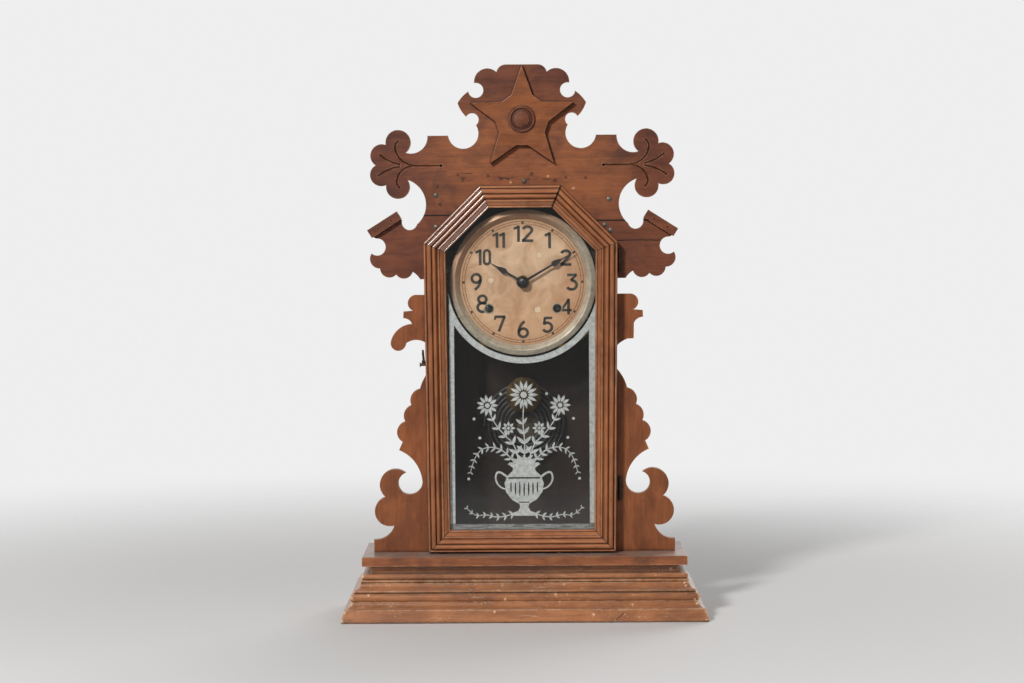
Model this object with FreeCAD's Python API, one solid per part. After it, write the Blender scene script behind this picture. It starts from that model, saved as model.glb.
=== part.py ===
import FreeCAD, Part
import math
import os
from FreeCAD import Vector

# A carved table clock with a glazed door, as its loose pieces, in millimetres.
# +Z is up, the clock faces -Y, and the origin is on the table under the middle of the base.

# Case
CASE_WIDTH = 190.0
CASE_HEIGHT = 376.0
WALL = 9.0
BACK_THICKNESS = 5.0
BOARD_THICKNESS = 8.0
SHELF_THICKNESS = 9.6
SHELF_DEPTH = 112.2
SHELF_REACH = 73.7
SHELF_EDGE = 1.2
FRONT_SETBACK = 39.0

# Base mouldings
BASE_HEIGHT = 55.8
BASE_OVERHANG = 20.8
BASE_STOCK = 18.0
FRIEZE_INSET = 8.0

# Carved front boards
CREST_HEIGHT = 133.6
SIDE_PLAIN_RUN = 22.5
LEFT_JOINT_DROP = 22.7
RIGHT_JOINT_DROP = 28.9
CORNER_LAP = 12.0
VEIN_WIDTH = 2.4
VEIN_DEPTH = 1.2
VEIN_HOLE_RADIUS = 1.5
VEIN_HOLE_DEPTH = 4.0
STAR_RADIUS = 56.5
STAR_WAIST = 27.0
STAR_NOTCH = 12.0
STAR_THICKNESS = 7.0
STAR_EDGE = 0.8
STAR_RISE = 76.6
ROSETTE_RADIUS = 14.2
ROSETTE_BUTTON_RADIUS = 7.4
ROSETTE_THICKNESS = 3.0
BLOCK_LENGTH = 36.8
BLOCK_WIDTH = 9.4
BLOCK_THICKNESS = 6.0
BLOCK_TILT = 32.3
BLOCK_DOT_RADIUS = 1.0
SCREW_RADIUS = 1.2
SCREW_HEAD_RADIUS = 2.6
SCREW_LENGTH = 7.0
SCREW_SLOT = 0.6

# Door
DOOR_LAP = 5.9
DOOR_TAPER = 3.0
DOOR_CORNER = 58.7
DOOR_SIDE_SHIFT = -2.2
DOOR_RISE = 7.6
DOOR_SHELF_GAP = 1.6
DOOR_BACK_GAP = 1.2
DOOR_THICKNESS = 19.2
RAIL_WIDTH = 22.7
REBATE_WIDTH = 4.6
GLASS_THICKNESS = 2.0
STRIP_THICKNESS = 4.6
HINGE_LENGTH = 24.0
HINGE_LEAF = 0.5
HINGE_KNUCKLE_RADIUS = 1.6
HINGE_PIN_RADIUS = 0.9
HINGE_LEAF_WIDTH = 11.0
LOWER_HINGE_HEIGHT = 66.0
UPPER_HINGE_DROP = 71.4
LATCH_BELOW_BRACKET = 17.1
LATCH_REACH = 27.0
LATCH_BAR = 5.0
LATCH_THICKNESS = 2.0
LATCH_TILT = 25.0
LATCH_SCREW_RADIUS = 1.5
STUD_RADIUS = 1.4

# Dial and hands
DIAL_TOP_GAP = 16.6
DIAL_SIDE_GAP = 10.5
DIAL_PLATE_THICKNESS = 0.8
DIAL_TAB_REACH = 9.0
DIAL_TAB_HEIGHT = 36.0
DIAL_HOLE_RADIUS = 6.8
BEZEL_LAP = 1.0
BEZEL_WIDTH = 10.3
BEZEL_BAND = 5.2
BEZEL_EDGE_HEIGHT = 5.0
BEZEL_HEIGHT = 6.6
WINDING_SPREAD = 35.8
WINDING_DROP = 27.7
WINDING_HOLE_RADIUS = 4.5
EYELET_WIDTH = 1.0
EYELET_HEIGHT = 0.5
CLEAT_WIDTH = 16.0
CLEAT_HEIGHT = 64.0
DIAL_SCREW_RADIUS = 1.1
DIAL_SCREW_SPREAD = 24.0
MINUTE_HAND_GAP = 2.7
HOUR_HAND_LENGTH = 40.0
MINUTE_HAND_ANGLE = 59.6
HOUR_HAND_ANGLE = 300.8
HAND_THICKNESS = 0.8
NUT_RADIUS = 6.0
NUT_HEIGHT = 4.6

# Movement, drawn for one this wide over its great wheels
MOVEMENT_DRAWN_WIDTH = 157.0
MOVEMENT_SIDE_GAP = 7.5
MOTION_SPACE = 8.4
PLATE_THICKNESS = 1.5
PLATE_SPACING = 26.0
PILLAR_RADIUS = 3.2
PILLAR_TENON_RADIUS = 2.0
ARBOR_RADIUS = 1.0
PIVOT_RADIUS = 0.7
CENTRE_ARBOR_RADIUS = 1.5
CANNON_RADIUS = 2.2
PIPE_RADIUS = 3.4
WINDING_ARBOR_RADIUS = 3.0
WINDING_SQUARE = 4.0
WHEEL_THICKNESS = 1.2
GREAT_WHEEL_THICKNESS = 1.6
GREAT_TEETH = 96
LANTERN_PINS = 8
CENTRE_TEETH = 80
CENTRE_MODULE = 0.6
THIRD_TEETH = 72
THIRD_MODULE = 0.5
THIRD_BEARING = 52.7
PALLET_SPREAD = 9.8
PALLET_RISE = 11.0
ESCAPE_TEETH = 48
ESCAPE_RADIUS = 13.0
CANNON_TEETH = 20
MINUTE_TEETH = 60
MINUTE_PINION_TEETH = 16
HOUR_TEETH = 64
MOTION_MODULE = 0.5
PIN_WHEEL_RADIUS = 17.0
PIN_WHEEL_BEARING = 80.0
HAMMER_ARBOR_DISTANCE = 28.6
HAMMER_ARBOR_BEARING = 119.0
LIFTING_PINS = 8
RATCHET_TEETH = 20
RATCHET_RADIUS = 9.0
SPRING_STRIP = 0.8
SPRING_PITCH = 2.6
SPRING_HALF_TURNS = 14
SPRING_WIDTH = 14.0

# Pendulum, gong and hammer
VERGE_RISE = 17.0
PENDULUM_LENGTH = 172.0
PENDULUM_SETBACK = 6.5
ROD_RADIUS = 0.8
BOB_RADIUS = 19.0
BOB_THICKNESS = 7.0
BOB_RIM = 1.2
GONG_HEIGHT = 129.6
GONG_WIRE_RADIUS = 1.2
GONG_PITCH = 4.4
GONG_START_RADIUS = 16.0
GONG_HALF_TURNS = 13
GONG_STANDOFF = 6.5
GONG_FOOT_RADIUS = 15.0
HAMMER_HEAD_RADIUS = 4.5
HAMMER_REST_GAP = 2.0
HAMMER_BEARING = 150.0

# Clearances
RUNNING_FIT = 0.05
SIDE_PLAY = 0.3
GLAZING_PLAY = 0.3

# Places that follow from the sizes above
BASE_DEPTH = SHELF_DEPTH + BASE_OVERHANG
BACK_Y = BASE_DEPTH / 2
SHELF_FRONT_Y = BACK_Y - SHELF_DEPTH
BOARD_FRONT_Y = SHELF_FRONT_Y + FRONT_SETBACK
BOARD_BACK_Y = BOARD_FRONT_Y + BOARD_THICKNESS
CASE_BACK_Y = BACK_Y - BACK_THICKNESS
SHELF_TOP = BASE_HEIGHT + SHELF_THICKNESS
CASE_TOP = SHELF_TOP + CASE_HEIGHT
CASE_HALF = CASE_WIDTH / 2
INNER_HALF = CASE_HALF - WALL
SHELF_HALF = CASE_HALF + SHELF_REACH
CEILING = CASE_TOP - WALL

DOOR_BACK_Y = BOARD_FRONT_Y - DOOR_BACK_GAP
DOOR_TOP = CASE_TOP + DOOR_RISE
DOOR_BOTTOM = SHELF_TOP + DOOR_SHELF_GAP
DOOR_SHOULDER = DOOR_TOP - DOOR_CORNER
DOOR_HALF = CASE_HALF + DOOR_LAP
DOOR_LEFT = DOOR_SIDE_SHIFT - DOOR_HALF
DOOR_RIGHT = DOOR_SIDE_SHIFT + DOOR_HALF
GLASS_FRONT_Y = DOOR_BACK_Y - STRIP_THICKNESS - GLASS_THICKNESS

DIAL_RADIUS = INNER_HALF - DIAL_SIDE_GAP
BEZEL_RADIUS = DIAL_RADIUS + BEZEL_LAP
DIAL_Z = CASE_TOP - BEZEL_RADIUS - DIAL_TOP_GAP
BEZEL_BORE_RADIUS = BEZEL_RADIUS - BEZEL_WIDTH
MINUTE_HAND_LENGTH = BEZEL_BORE_RADIUS - MINUTE_HAND_GAP
DIAL_FRONT_Y = BOARD_BACK_Y
DIAL_BACK_Y = DIAL_FRONT_Y + DIAL_PLATE_THICKNESS
PLATE_FRONT_Y = DIAL_BACK_Y + MOTION_SPACE
TRAIN_FRONT_Y = PLATE_FRONT_Y + PLATE_THICKNESS
TRAIN_BACK_Y = TRAIN_FRONT_Y + PLATE_SPACING
PLATE_BACK_Y = TRAIN_BACK_Y + PLATE_THICKNESS
PENDULUM_Y = PLATE_BACK_Y + PENDULUM_SETBACK
GONG_Y = CASE_BACK_Y - GONG_STANDOFF
GONG_Z = SHELF_TOP + GONG_HEIGHT

# Arbors of the movement, as (x, z) from the dial's centre; its plan fits the case's inner width
MOVEMENT_SIZE = 2 * (INNER_HALF - MOVEMENT_SIDE_GAP) / MOVEMENT_DRAWN_WIDTH
CENTRE = (0.0, 0.0)
TIME_WINDING = (WINDING_SPREAD * MOVEMENT_SIZE, -WINDING_DROP * MOVEMENT_SIZE)
STRIKE_WINDING = (-TIME_WINDING[0], TIME_WINDING[1])
GREAT_DISTANCE = math.hypot(*TIME_WINDING)
GREAT_MODULE = 2 * GREAT_DISTANCE / (GREAT_TEETH + LANTERN_PINS)
CENTRE_WHEEL_MODULE = CENTRE_MODULE * MOVEMENT_SIZE
THIRD_WHEEL_MODULE = THIRD_MODULE * MOVEMENT_SIZE
ESCAPE_TIP_RADIUS = ESCAPE_RADIUS * MOVEMENT_SIZE
PIN_WHEEL_RIM_RADIUS = PIN_WHEEL_RADIUS * MOVEMENT_SIZE


def polar(origin, distance, bearing):
    """Point (x, z) at a distance and bearing in degrees, measured up from +X."""
    angle = math.radians(bearing)
    return (origin[0] + distance * math.cos(angle), origin[1] + distance * math.sin(angle))


THIRD = polar(CENTRE, (CENTRE_TEETH + LANTERN_PINS) * CENTRE_WHEEL_MODULE / 2, THIRD_BEARING)
THIRD_DISTANCE = (THIRD_TEETH + LANTERN_PINS) * THIRD_WHEEL_MODULE / 2
ESCAPE = (0.0, THIRD[1] + math.sqrt(THIRD_DISTANCE ** 2 - THIRD[0] ** 2))
VERGE = (ESCAPE[0], ESCAPE[1] + VERGE_RISE * MOVEMENT_SIZE)
MINUTE_STUD = (0.0, -(CANNON_TEETH + MINUTE_TEETH) * MOTION_MODULE / 2)
PIN_WHEEL = polar(STRIKE_WINDING, GREAT_DISTANCE, PIN_WHEEL_BEARING)
HAMMER = polar(PIN_WHEEL, HAMMER_ARBOR_DISTANCE * MOVEMENT_SIZE, HAMMER_ARBOR_BEARING)
PILLARS_TO_BACK = [(-45.0, 48.0), (45.0, 48.0), (-55.0, 16.0), (55.0, 16.0)]
PILLARS_TO_BACK = [(x * MOVEMENT_SIZE, z * MOVEMENT_SIZE) for x, z in PILLARS_TO_BACK]
PILLAR_BELOW = (0.0, -64.0 * MOVEMENT_SIZE)
PLATE_HALF = [(0.0, 55.0), (51.0, 55.0), (62.0, 14.0), (46.0, -38.0), (9.0, -72.0), (0.0, -72.0)]
PLATE_HALF = [(x * MOVEMENT_SIZE, z * MOVEMENT_SIZE) for x, z in PLATE_HALF]

# Levels of the wheels between the plates
TIME_GREAT_Y = TRAIN_FRONT_Y + 2.0
STRIKE_GREAT_Y = TRAIN_BACK_Y - 5.6
CENTRE_WHEEL_Y = TRAIN_BACK_Y - 3.2
THIRD_WHEEL_Y = TRAIN_BACK_Y - 8.0
ESCAPE_WHEEL_Y = TRAIN_BACK_Y - 14.0
PIN_WHEEL_Y = TRAIN_FRONT_Y + 8.0
PINION_SHROUD = 0.8
PINION_PLAY = 0.5

# Levels of the motion work, in front of the front plate
MINUTE_WHEEL_Y = PLATE_FRONT_Y - 2.4
HOUR_WHEEL_Y = DIAL_BACK_Y + 2.3
HOUR_HAND_Y = DIAL_FRONT_Y - 3.9
MINUTE_HAND_Y = HOUR_HAND_Y - 2.4


def step_ends(step):
    """The middle point (None on a straight) and the end point of one step of an outline."""
    if isinstance(step[0], tuple):
        return step
    return None, step


def outline(start, steps):
    """Segments (start, middle, end) through steps: a point is a straight, two points are an arc."""
    segments = []
    for step in steps:
        middle, end = step_ends(step)
        segments.append((start, middle, end))
        start = end
    return segments


def flipped(segments):
    """The same segments on the other side of the centre line, run backwards."""
    flip = lambda p: None if p is None else (-p[0], p[1])
    return [(flip(end), flip(middle), flip(start)) for start, middle, end in reversed(segments)]


def moved(segments, dx, dz):
    """Segments shifted in their plane."""
    shift = lambda p: None if p is None else (p[0] + dx, p[1] + dz)
    return [tuple(shift(p) for p in segment) for segment in segments]


def closed_face(segments, place):
    """Face inside a chain of segments; place turns an outline point into a point in space."""
    edges = []
    first, last = segments[0][0], segments[-1][2]
    if math.dist(first, last) > 1e-6:
        segments = segments + [(last, None, first)]
    for start, middle, end in segments:
        if math.dist(start, end) < 1e-6:
            continue
        if middle is None:
            edges.append(Part.LineSegment(place(start), place(end)).toShape())
        else:
            edges.append(Part.Arc(place(start), place(middle), place(end)).toShape())
    return Part.Face(Part.Wire(edges))


def upright(segments, front, thickness):
    """Plate of an (x, z) outline, with its front face at y = front."""
    face = closed_face(segments, lambda p: Vector(p[0], front, p[1]))
    return face.extrude(Vector(0, thickness, 0))


def flat(points, bottom, height):
    """Prism on an (x, y) polygon."""
    wire = Part.makePolygon([Vector(x, y, bottom) for x, y in points + points[:1]])
    return Part.Face(wire).extrude(Vector(0, 0, height))


def block(x0, x1, y0, y1, z0, z1):
    return Part.makeBox(x1 - x0, y1 - y0, z1 - z0, Vector(x0, y0, z0))


def turned(profile, centre):
    """Solid of revolution about the Y line through (x, z); the profile holds (radius, y) steps."""
    place = lambda p: Vector(centre[0] + p[0], p[1], centre[1])
    face = closed_face(profile, place)
    return face.revolve(Vector(centre[0], 0, centre[1]), Vector(0, 1, 0), 360)


def dome(radius, y, height):
    """Step of a turned profile: from a rim of this radius at y, up a round cap to the axis."""
    ball = (radius ** 2 + height ** 2) / (2 * height)
    rise = math.sqrt(ball ** 2 - radius ** 2 / 4) - ball + height
    return ((radius / 2, y - rise), (0, y - height))


def rod(radius, y0, y1, centre):
    """Round bar along Y at (x, z)."""
    return Part.makeCylinder(radius, y1 - y0, Vector(centre[0], y0, centre[1]), Vector(0, 1, 0))


def ring(outer, inner, y0, y1, centre):
    return rod(outer, y0, y1, centre).cut(rod(inner, y0, y1, centre))


def joined(*shapes):
    """One solid of touching shapes."""
    return shapes[0].fuse(list(shapes[1:])).removeSplitter()


def on_dial(point):
    """Point (x, z) of the part, from one measured from the dial's centre."""
    return (point[0], DIAL_Z + point[1])


def bearing_between(a, b):
    return math.degrees(math.atan2(b[1] - a[1], b[0] - a[0]))


def save(name, *solids):
    """Write one node, of one solid or of several alike."""
    for solid in solids:
        if not solid.isValid() or solid.Volume <= 0 or len(solid.Solids) != 1:
            raise ValueError(f"{name}: bad solid, volume {solid.Volume:.3f}, {len(solid.Solids)} solids")
    shape = solids[0] if len(solids) == 1 else Part.makeCompound(list(solids))
    shape.exportStep(f"parts/{name}.step")


def base_profile():
    """Section of the base moulding: distance out from the shelf's edge, and height."""
    out = BASE_OVERHANG
    return outline((-BASE_STOCK, 0), [
        (out, 0), (out, 1.5), (out - 3.2, 13.2), (out - 4.2, 13.2),
        ((out - 8.6, 15.8), (out - 10.6, 20.6)),
        ((out - 8.8, 24.6), (out - 11.0, 28.4)),
        (out - 12.6, 28.7), (out - 13.2, 29.1),
        ((out - 12.4, 30.6), (out - 13.8, 32.2)),
        ((out - 18.0, 34.6), (out - 19.6, 38.4)),
        (out - 20.6, 39.1),
        ((out - 19.6, 40.4), (out - 20.8, 41.7)),
        (out - 21.4, 42.2),
        ((out - 20.2, 44.8), (out - 21.8, 47.4)),
        (-FRIEZE_INSET, 47.6), (-FRIEZE_INSET, BASE_HEIGHT), (-BASE_STOCK, BASE_HEIGHT)])


def make_base():
    profile = base_profile()
    reach = SHELF_HALF + BASE_OVERHANG
    outer_y = SHELF_FRONT_Y - BASE_OVERHANG
    inner_x = SHELF_HALF - BASE_STOCK
    inner_y = SHELF_FRONT_Y + BASE_STOCK

    front = closed_face(profile, lambda p: Vector(-reach, SHELF_FRONT_Y - p[0], p[1]))
    front = front.extrude(Vector(2 * reach, 0, 0))
    front_plan = [(-reach, outer_y), (reach, outer_y), (inner_x, inner_y), (-inner_x, inner_y)]
    mitred = flat(front_plan, 0, BASE_HEIGHT)
    save("base_front_moulding", front.common(mitred).Solids[0])

    side_plan = [(reach, outer_y), (reach, BACK_Y), (inner_x, BACK_Y), (inner_x, inner_y)]
    for name, side in (("base_left_moulding", -1), ("base_right_moulding", 1)):
        face = closed_face(profile, lambda p: Vector(side * (SHELF_HALF + p[0]), outer_y, p[1]))
        run = face.extrude(Vector(0, BASE_DEPTH, 0))
        plan = flat([(side * x, y) for x, y in side_plan], 0, BASE_HEIGHT)
        save(name, run.common(plan).Solids[0])

    save("base_back_rail", block(-inner_x, inner_x, BACK_Y - BASE_STOCK, BACK_Y, 0, BASE_HEIGHT))

    shelf = block(-SHELF_HALF, SHELF_HALF, SHELF_FRONT_Y, BACK_Y, BASE_HEIGHT, SHELF_TOP)
    rounded = [e for e in shelf.Edges if e.BoundBox.YMin < BACK_Y - 1 and e.BoundBox.ZMin > SHELF_TOP - 1]
    save("base_shelf", shelf.makeFillet(SHELF_EDGE, rounded))


def make_case():
    for name, side in (("case_left_side", -1), ("case_right_side", 1)):
        x0, x1 = sorted((side * INNER_HALF, side * CASE_HALF))
        save(name, block(x0, x1, BOARD_BACK_Y, CASE_BACK_Y, SHELF_TOP, CEILING))
    save("case_top", block(-CASE_HALF, CASE_HALF, BOARD_BACK_Y, CASE_BACK_Y, CEILING, CASE_TOP))
    save("case_back", block(-CASE_HALF, CASE_HALF, CASE_BACK_Y, BACK_Y, SHELF_TOP, CASE_TOP))


# Where the front boards end behind the door's slanted corners: x plus height over the case's top
CORNER_SUM = DOOR_HALF + DOOR_RISE - DOOR_CORNER - CORNER_LAP * math.sqrt(2)

# The carved outlines are drawn for a crest of this height, and grow with it
CARVING = CREST_HEIGHT / 133.6
LEFT_JOINT = LEFT_JOINT_DROP * CARVING
RIGHT_JOINT = RIGHT_JOINT_DROP * CARVING
BRACKET_DROP = 160.9 * CARVING


def carved(point, stretch=1.0):
    """Point of a carved outline at the part's size; stretch is for its height alone."""
    return (point[0] * CARVING, point[1] * CARVING * stretch)


def carved_steps(steps, stretch=1.0):
    """Steps of a carved outline at the part's size."""
    sized = []
    for step in steps:
        middle, end = step_ends(step)
        end = carved(end, stretch)
        sized.append(end if middle is None else (carved(middle, stretch), end))
    return sized


# The round hollow between the crest's end and the ear, from the case's top corner
EAR_HOLLOW = carved((32.5, -11.4))
EAR_HOLLOW_RADIUS = 26.9 * CARVING
EAR_HOLLOW_TOP_DROP = -14.3 * CARVING
EAR_HOLLOW_END_DROP = 31.9 * CARVING


def hollow_point(drop):
    """Point of the ear's round hollow, from the case's top corner, this far below the case's top."""
    rise = -drop - EAR_HOLLOW[1]
    return (EAR_HOLLOW[0] - math.sqrt(EAR_HOLLOW_RADIUS ** 2 - rise ** 2), -drop)


def hollow_arc(top_drop, bottom_drop):
    """Arc of the ear's hollow between two levels, as a step of an outline."""
    return (hollow_point((top_drop + bottom_drop) / 2), hollow_point(bottom_drop))


def crest_half(joint_drop):
    """Right half of the crest, from its top middle down to the joint with the ear board."""
    crown = outline(carved((0, 133.6)), carved_steps([
        (17.0, 133.6), ((22.5, 131.6), (26.2, 125.9)),
        ((41.0, 128.6), (49.5, 114.7)), ((40.2, 105.1), (55.6, 105.9)),
        ((61.9, 100.6), (66.9, 93.9)), ((63.2, 85.9), (58.1, 79.7)),
        ((46.3, 80.5), (47.9, 71.0)), ((62.1, 46.5), (77.1, 60.2))]))
    lobes = carved_steps([
        ((9.0, 46.4), (26.3, 42.8)), ((33.4, 66.4), (47.1, 51.1)),
        ((63.1, 40.7), (57.9, 29.8)), ((62.5, 14.6), (46.9, 9.3))])
    last_lobe = (carved((33.3, -5.2)), hollow_point(EAR_HOLLOW_TOP_DROP))
    hollow = hollow_arc(EAR_HOLLOW_TOP_DROP, joint_drop)
    end = moved(outline(carved((3.5, 60.2)), lobes + [last_lobe, hollow]), CASE_HALF, 0)
    shoulder = (crown[-1][2], None, end[0][0])
    return crown + [shoulder] + end


def ear_outline(joint_drop):
    """Right ear board, from its inner top corner round its outer edge."""
    joint = hollow_point(joint_drop)
    inner = (CORNER_SUM + joint_drop - CASE_HALF, -joint_drop)
    rim = carved_steps([
        ((23.5, -37.8), (31.0, -27.7)), (36.0, -20.9), (65.5, -38.9), (61.0, -44.9), (58.0, -46.4),
        ((48.2, -54.2), (62.9, -62.2)), ((64.2, -70.4), (54.1, -77.7)),
        ((48.0, -86.6), (37.2, -84.1)), ((29.2, -88.5), (20.2, -81.5)),
        ((16.3, -84.3), (12.3, -89.2))])
    inside = [(-WALL, rim[-1][1][1]), (-WALL, CORNER_SUM - INNER_HALF)]
    return outline(inner, [joint, hollow_arc(joint_drop, EAR_HOLLOW_END_DROP)] + rim + inside)


def side_outline(whole_scroll):
    """Right side board from the foot up; the foot's carving takes up the case's height."""
    stretch = (CASE_HEIGHT - BRACKET_DROP - SIDE_PLAIN_RUN) / (192.6 * CARVING)
    foot = outline((-WALL, 0), carved_steps([
        (63.0, 0), (63.1, 13.3), ((48.7, 17.6), (41.8, 28.1)), ((62.0, 41.6), (50.6, 58.2)),
        ((52.0, 82.5), (29.2, 83.6)), ((36.8, 70.6), (25.0, 60.9)), ((14.3, 66.4), (12.2, 77.6)),
        ((19.0, 94.2), (36.0, 107.6)), (32.2, 116.4), ((37.9, 128.0), (29.1, 137.6)),
        ((30.6, 145.5), (22.6, 154.7)), ((23.5, 162.4), (13.5, 171.9)),
        ((9.0, 183.4), (2.0, 192.6))], stretch))
    if whole_scroll:
        scroll = [((16.0, -152.8), (27.8, -156.4)), ((35.6, -164.1), (43.6, -154.3)),
                  ((35.2, -141.1), (21.2, -136.1))]
    else:
        scroll = [((8.0, -155.6), (14.4, -152.6)), (20.5, -152.4), (20.8, -136.1)]
    bracket = carved_steps(scroll + [
        ((24.0, -132.1), (30.4, -129.9)), (30.1, -123.0), (19.6, -122.2),
        ((25.5, -114.3), (15.9, -105.7))])
    bracket = outline((carved((2.0, 0))[0], -BRACKET_DROP), bracket + [(-WALL, bracket[-1][1][1])])
    foot = moved(foot, 0, SHELF_TOP)
    bracket = moved(bracket, 0, CASE_TOP)
    return foot + [(foot[-1][2], None, bracket[0][0])] + bracket


def star_points():
    points = []
    half_notch = math.degrees(math.atan2(STAR_NOTCH / 2, STAR_WAIST))
    notch_radius = math.hypot(STAR_NOTCH / 2, STAR_WAIST)
    for arm in range(5):
        bearing = 90 + 72 * arm
        points.append(polar((0, CASE_TOP + STAR_RISE), STAR_RADIUS, bearing))
        for side in (-half_notch, half_notch):
            points.append(polar((0, CASE_TOP + STAR_RISE), notch_radius, bearing + 36 + side))
    return points


def ear_block(side):
    """Tilted bar on an ear, with two shallow drilled dots."""
    front = BOARD_FRONT_Y - BLOCK_THICKNESS
    bar = block(-BLOCK_LENGTH / 2, BLOCK_LENGTH / 2, front, BOARD_FRONT_Y, -BLOCK_WIDTH / 2, BLOCK_WIDTH / 2)
    for x in (-BLOCK_LENGTH * 0.22, BLOCK_LENGTH * 0.22):
        bar = bar.cut(rod(BLOCK_DOT_RADIUS, front - 1, front + 1.5, (x, 0)))
    bar.rotate(Vector(0, 0, 0), Vector(0, 1, 0), side * BLOCK_TILT)
    x, z = carved((49.0, -31.9))
    bar.translate(Vector(side * (CASE_HALF + x), 0, CASE_TOP + z))
    return bar


def front_screw(x, drop):
    """Screw in a front board, with a low slotted head; drop is below the case's top."""
    x0, z0 = centre = (x, CASE_TOP - drop)
    shank = rod(SCREW_RADIUS, BOARD_FRONT_Y, BOARD_FRONT_Y + SCREW_LENGTH, centre)
    head = turned(outline((0, BOARD_FRONT_Y), [
        (SCREW_HEAD_RADIUS, BOARD_FRONT_Y), (SCREW_HEAD_RADIUS, BOARD_FRONT_Y - 0.3),
        dome(SCREW_HEAD_RADIUS, BOARD_FRONT_Y - 0.3, 0.9)]), centre)
    slot = block(x0 - SCREW_HEAD_RADIUS, x0 + SCREW_HEAD_RADIUS, BOARD_FRONT_Y - 2, BOARD_FRONT_Y - 0.5,
                 z0 - SCREW_SLOT / 2, z0 + SCREW_SLOT / 2)
    slot.rotate(Vector(x0, 0, z0), Vector(0, 1, 0), 25 + 40 * x0 / CASE_HALF)
    return joined(shank, head).cut(slot)


SCREW_PLACES = [(4.9 - CASE_HALF, 2.0), (4.8 - CASE_HALF, 34.8), (2.1, -12.4),
                (CASE_HALF - 4.5, 6.6), (CASE_HALF - 8.8, 33.5), (CASE_HALF - 2.8, 39.0)]


def screw_holes(board):
    """A front board with a snug hole for each screw."""
    for x, drop in SCREW_PLACES:
        hole = rod(SCREW_RADIUS, BOARD_FRONT_Y, BOARD_FRONT_Y + SCREW_LENGTH, (x, CASE_TOP - drop))
        board = board.cut(hole)
    return board


def vein(start, middle, end):
    """Cutter for a V groove in the face of the right end of the crest, straight or along an arc."""
    place = lambda p: Vector(CASE_HALF + p[0], BOARD_FRONT_Y, CASE_TOP + p[1])
    a, b = place(start), place(end)
    if middle is None:
        along = (b - a).normalize()
    else:
        curve = Part.Arc(a, place(middle), b).toShape()
        along = curve.tangentAt(curve.FirstParameter)
    across = along.cross(Vector(0, 1, 0)) * (VEIN_WIDTH / 2)
    corners = [a - across, a + across, a + Vector(0, VEIN_DEPTH, 0)]
    section = Part.Face(Part.makePolygon(corners + corners[:1]))
    if middle is None:
        return section.extrude(b - a)
    turn = math.degrees(curve.LastParameter - curve.FirstParameter)
    return section.revolve(curve.Curve.Center, curve.Curve.Axis, turn)


# Veins of a crest end, from the case's top corner: the stem, then each leaf's groove
VEIN_STEM_START = (-10.3, 29.0)
VEINS = [
    (VEIN_STEM_START, [(20.3, 29.1)]),
    ((18.2, 29.6), [((28.7, 33.3), (37.0, 46.0)), ((36.6, 51.6), (32.9, 55.4))]),
    ((32.0, 30.4), [((43.5, 34.2), (53.5, 40.9))]),
    ((32.3, 28.2), [((44.5, 25.0), (55.6, 18.4))]),
    ((19.3, 28.7), [((29.5, 24.8), (35.5, 15.0)), ((35.4, 9.6), (32.3, 5.8))]),
]


def carve_veins(board):
    """The crest with its leaf veins cut into both ends."""
    cutters = []
    for start, steps in VEINS:
        cutters += [vein(*segment) for segment in outline(carved(start), carved_steps(steps))]
    x, z = carved(VEIN_STEM_START)
    hole_end_y = BOARD_FRONT_Y + VEIN_HOLE_DEPTH
    cutters.append(rod(VEIN_HOLE_RADIUS, BOARD_FRONT_Y, hole_end_y, (CASE_HALF + x, CASE_TOP + z)))
    for cutter in cutters:
        board = board.cut(cutter)
        board = board.cut(cutter.mirror(Vector(0, 0, 0), Vector(1, 0, 0)))
    return board


def make_front_boards():
    right, left = crest_half(RIGHT_JOINT), crest_half(LEFT_JOINT)
    under = outline(right[-1][2], [
        (CORNER_SUM + RIGHT_JOINT, -RIGHT_JOINT), (CORNER_SUM + WALL, -WALL),
        (-CORNER_SUM - WALL, -WALL), (-CORNER_SUM - LEFT_JOINT, -LEFT_JOINT)])
    left = flipped(left)
    crest = right + under + [(under[-1][2], None, left[0][0])] + left
    crest = upright(moved(crest, 0, CASE_TOP), BOARD_FRONT_Y, BOARD_THICKNESS)
    save("crest_board", carve_veins(screw_holes(crest)))

    right_ear = moved(ear_outline(RIGHT_JOINT), CASE_HALF, CASE_TOP)
    left_ear = flipped(moved(ear_outline(LEFT_JOINT), CASE_HALF, CASE_TOP))
    save("right_ear_board", screw_holes(upright(right_ear, BOARD_FRONT_Y, BOARD_THICKNESS)))
    save("left_ear_board", screw_holes(upright(left_ear, BOARD_FRONT_Y, BOARD_THICKNESS)))

    right_side = moved(side_outline(False), CASE_HALF, 0)
    left_side = flipped(moved(side_outline(True), CASE_HALF, 0))
    save("right_side_board", upright(right_side, BOARD_FRONT_Y, BOARD_THICKNESS))
    save("left_side_board", upright(left_side, BOARD_FRONT_Y, BOARD_THICKNESS))

    save("ear_blocks", ear_block(-1), ear_block(1))
    save("front_screws", *[front_screw(x, drop) for x, drop in SCREW_PLACES])


def make_star():
    points = star_points()
    front = BOARD_FRONT_Y - STAR_THICKNESS
    star = upright(outline(points[0], points[1:] + points[:1]), front, STAR_THICKNESS)
    rim = [e for e in star.Edges if e.BoundBox.YMax < front + 0.01]
    save("crest_star", star.makeFillet(STAR_EDGE, rim))

    face = front - ROSETTE_THICKNESS
    low, shoulder = front - ROSETTE_THICKNESS * 0.2, front - ROSETTE_THICKNESS * 0.65
    rim, button = ROSETTE_RADIUS, ROSETTE_BUTTON_RADIUS
    profile = outline((0, front), [
        (rim, front), (rim, low), (rim - 0.8, low),
        ((rim - 1.8, face + 0.5), (rim - 2.9, shoulder)), (rim - 3.4, low),
        ((rim - 4.6, low - 0.3), (button + 0.7, shoulder)), (button, shoulder), (button, face),
        dome(button, face, ROSETTE_THICKNESS * 0.5)])
    save("star_rosette", turned(profile, (0, CASE_TOP + STAR_RISE)))


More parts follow.
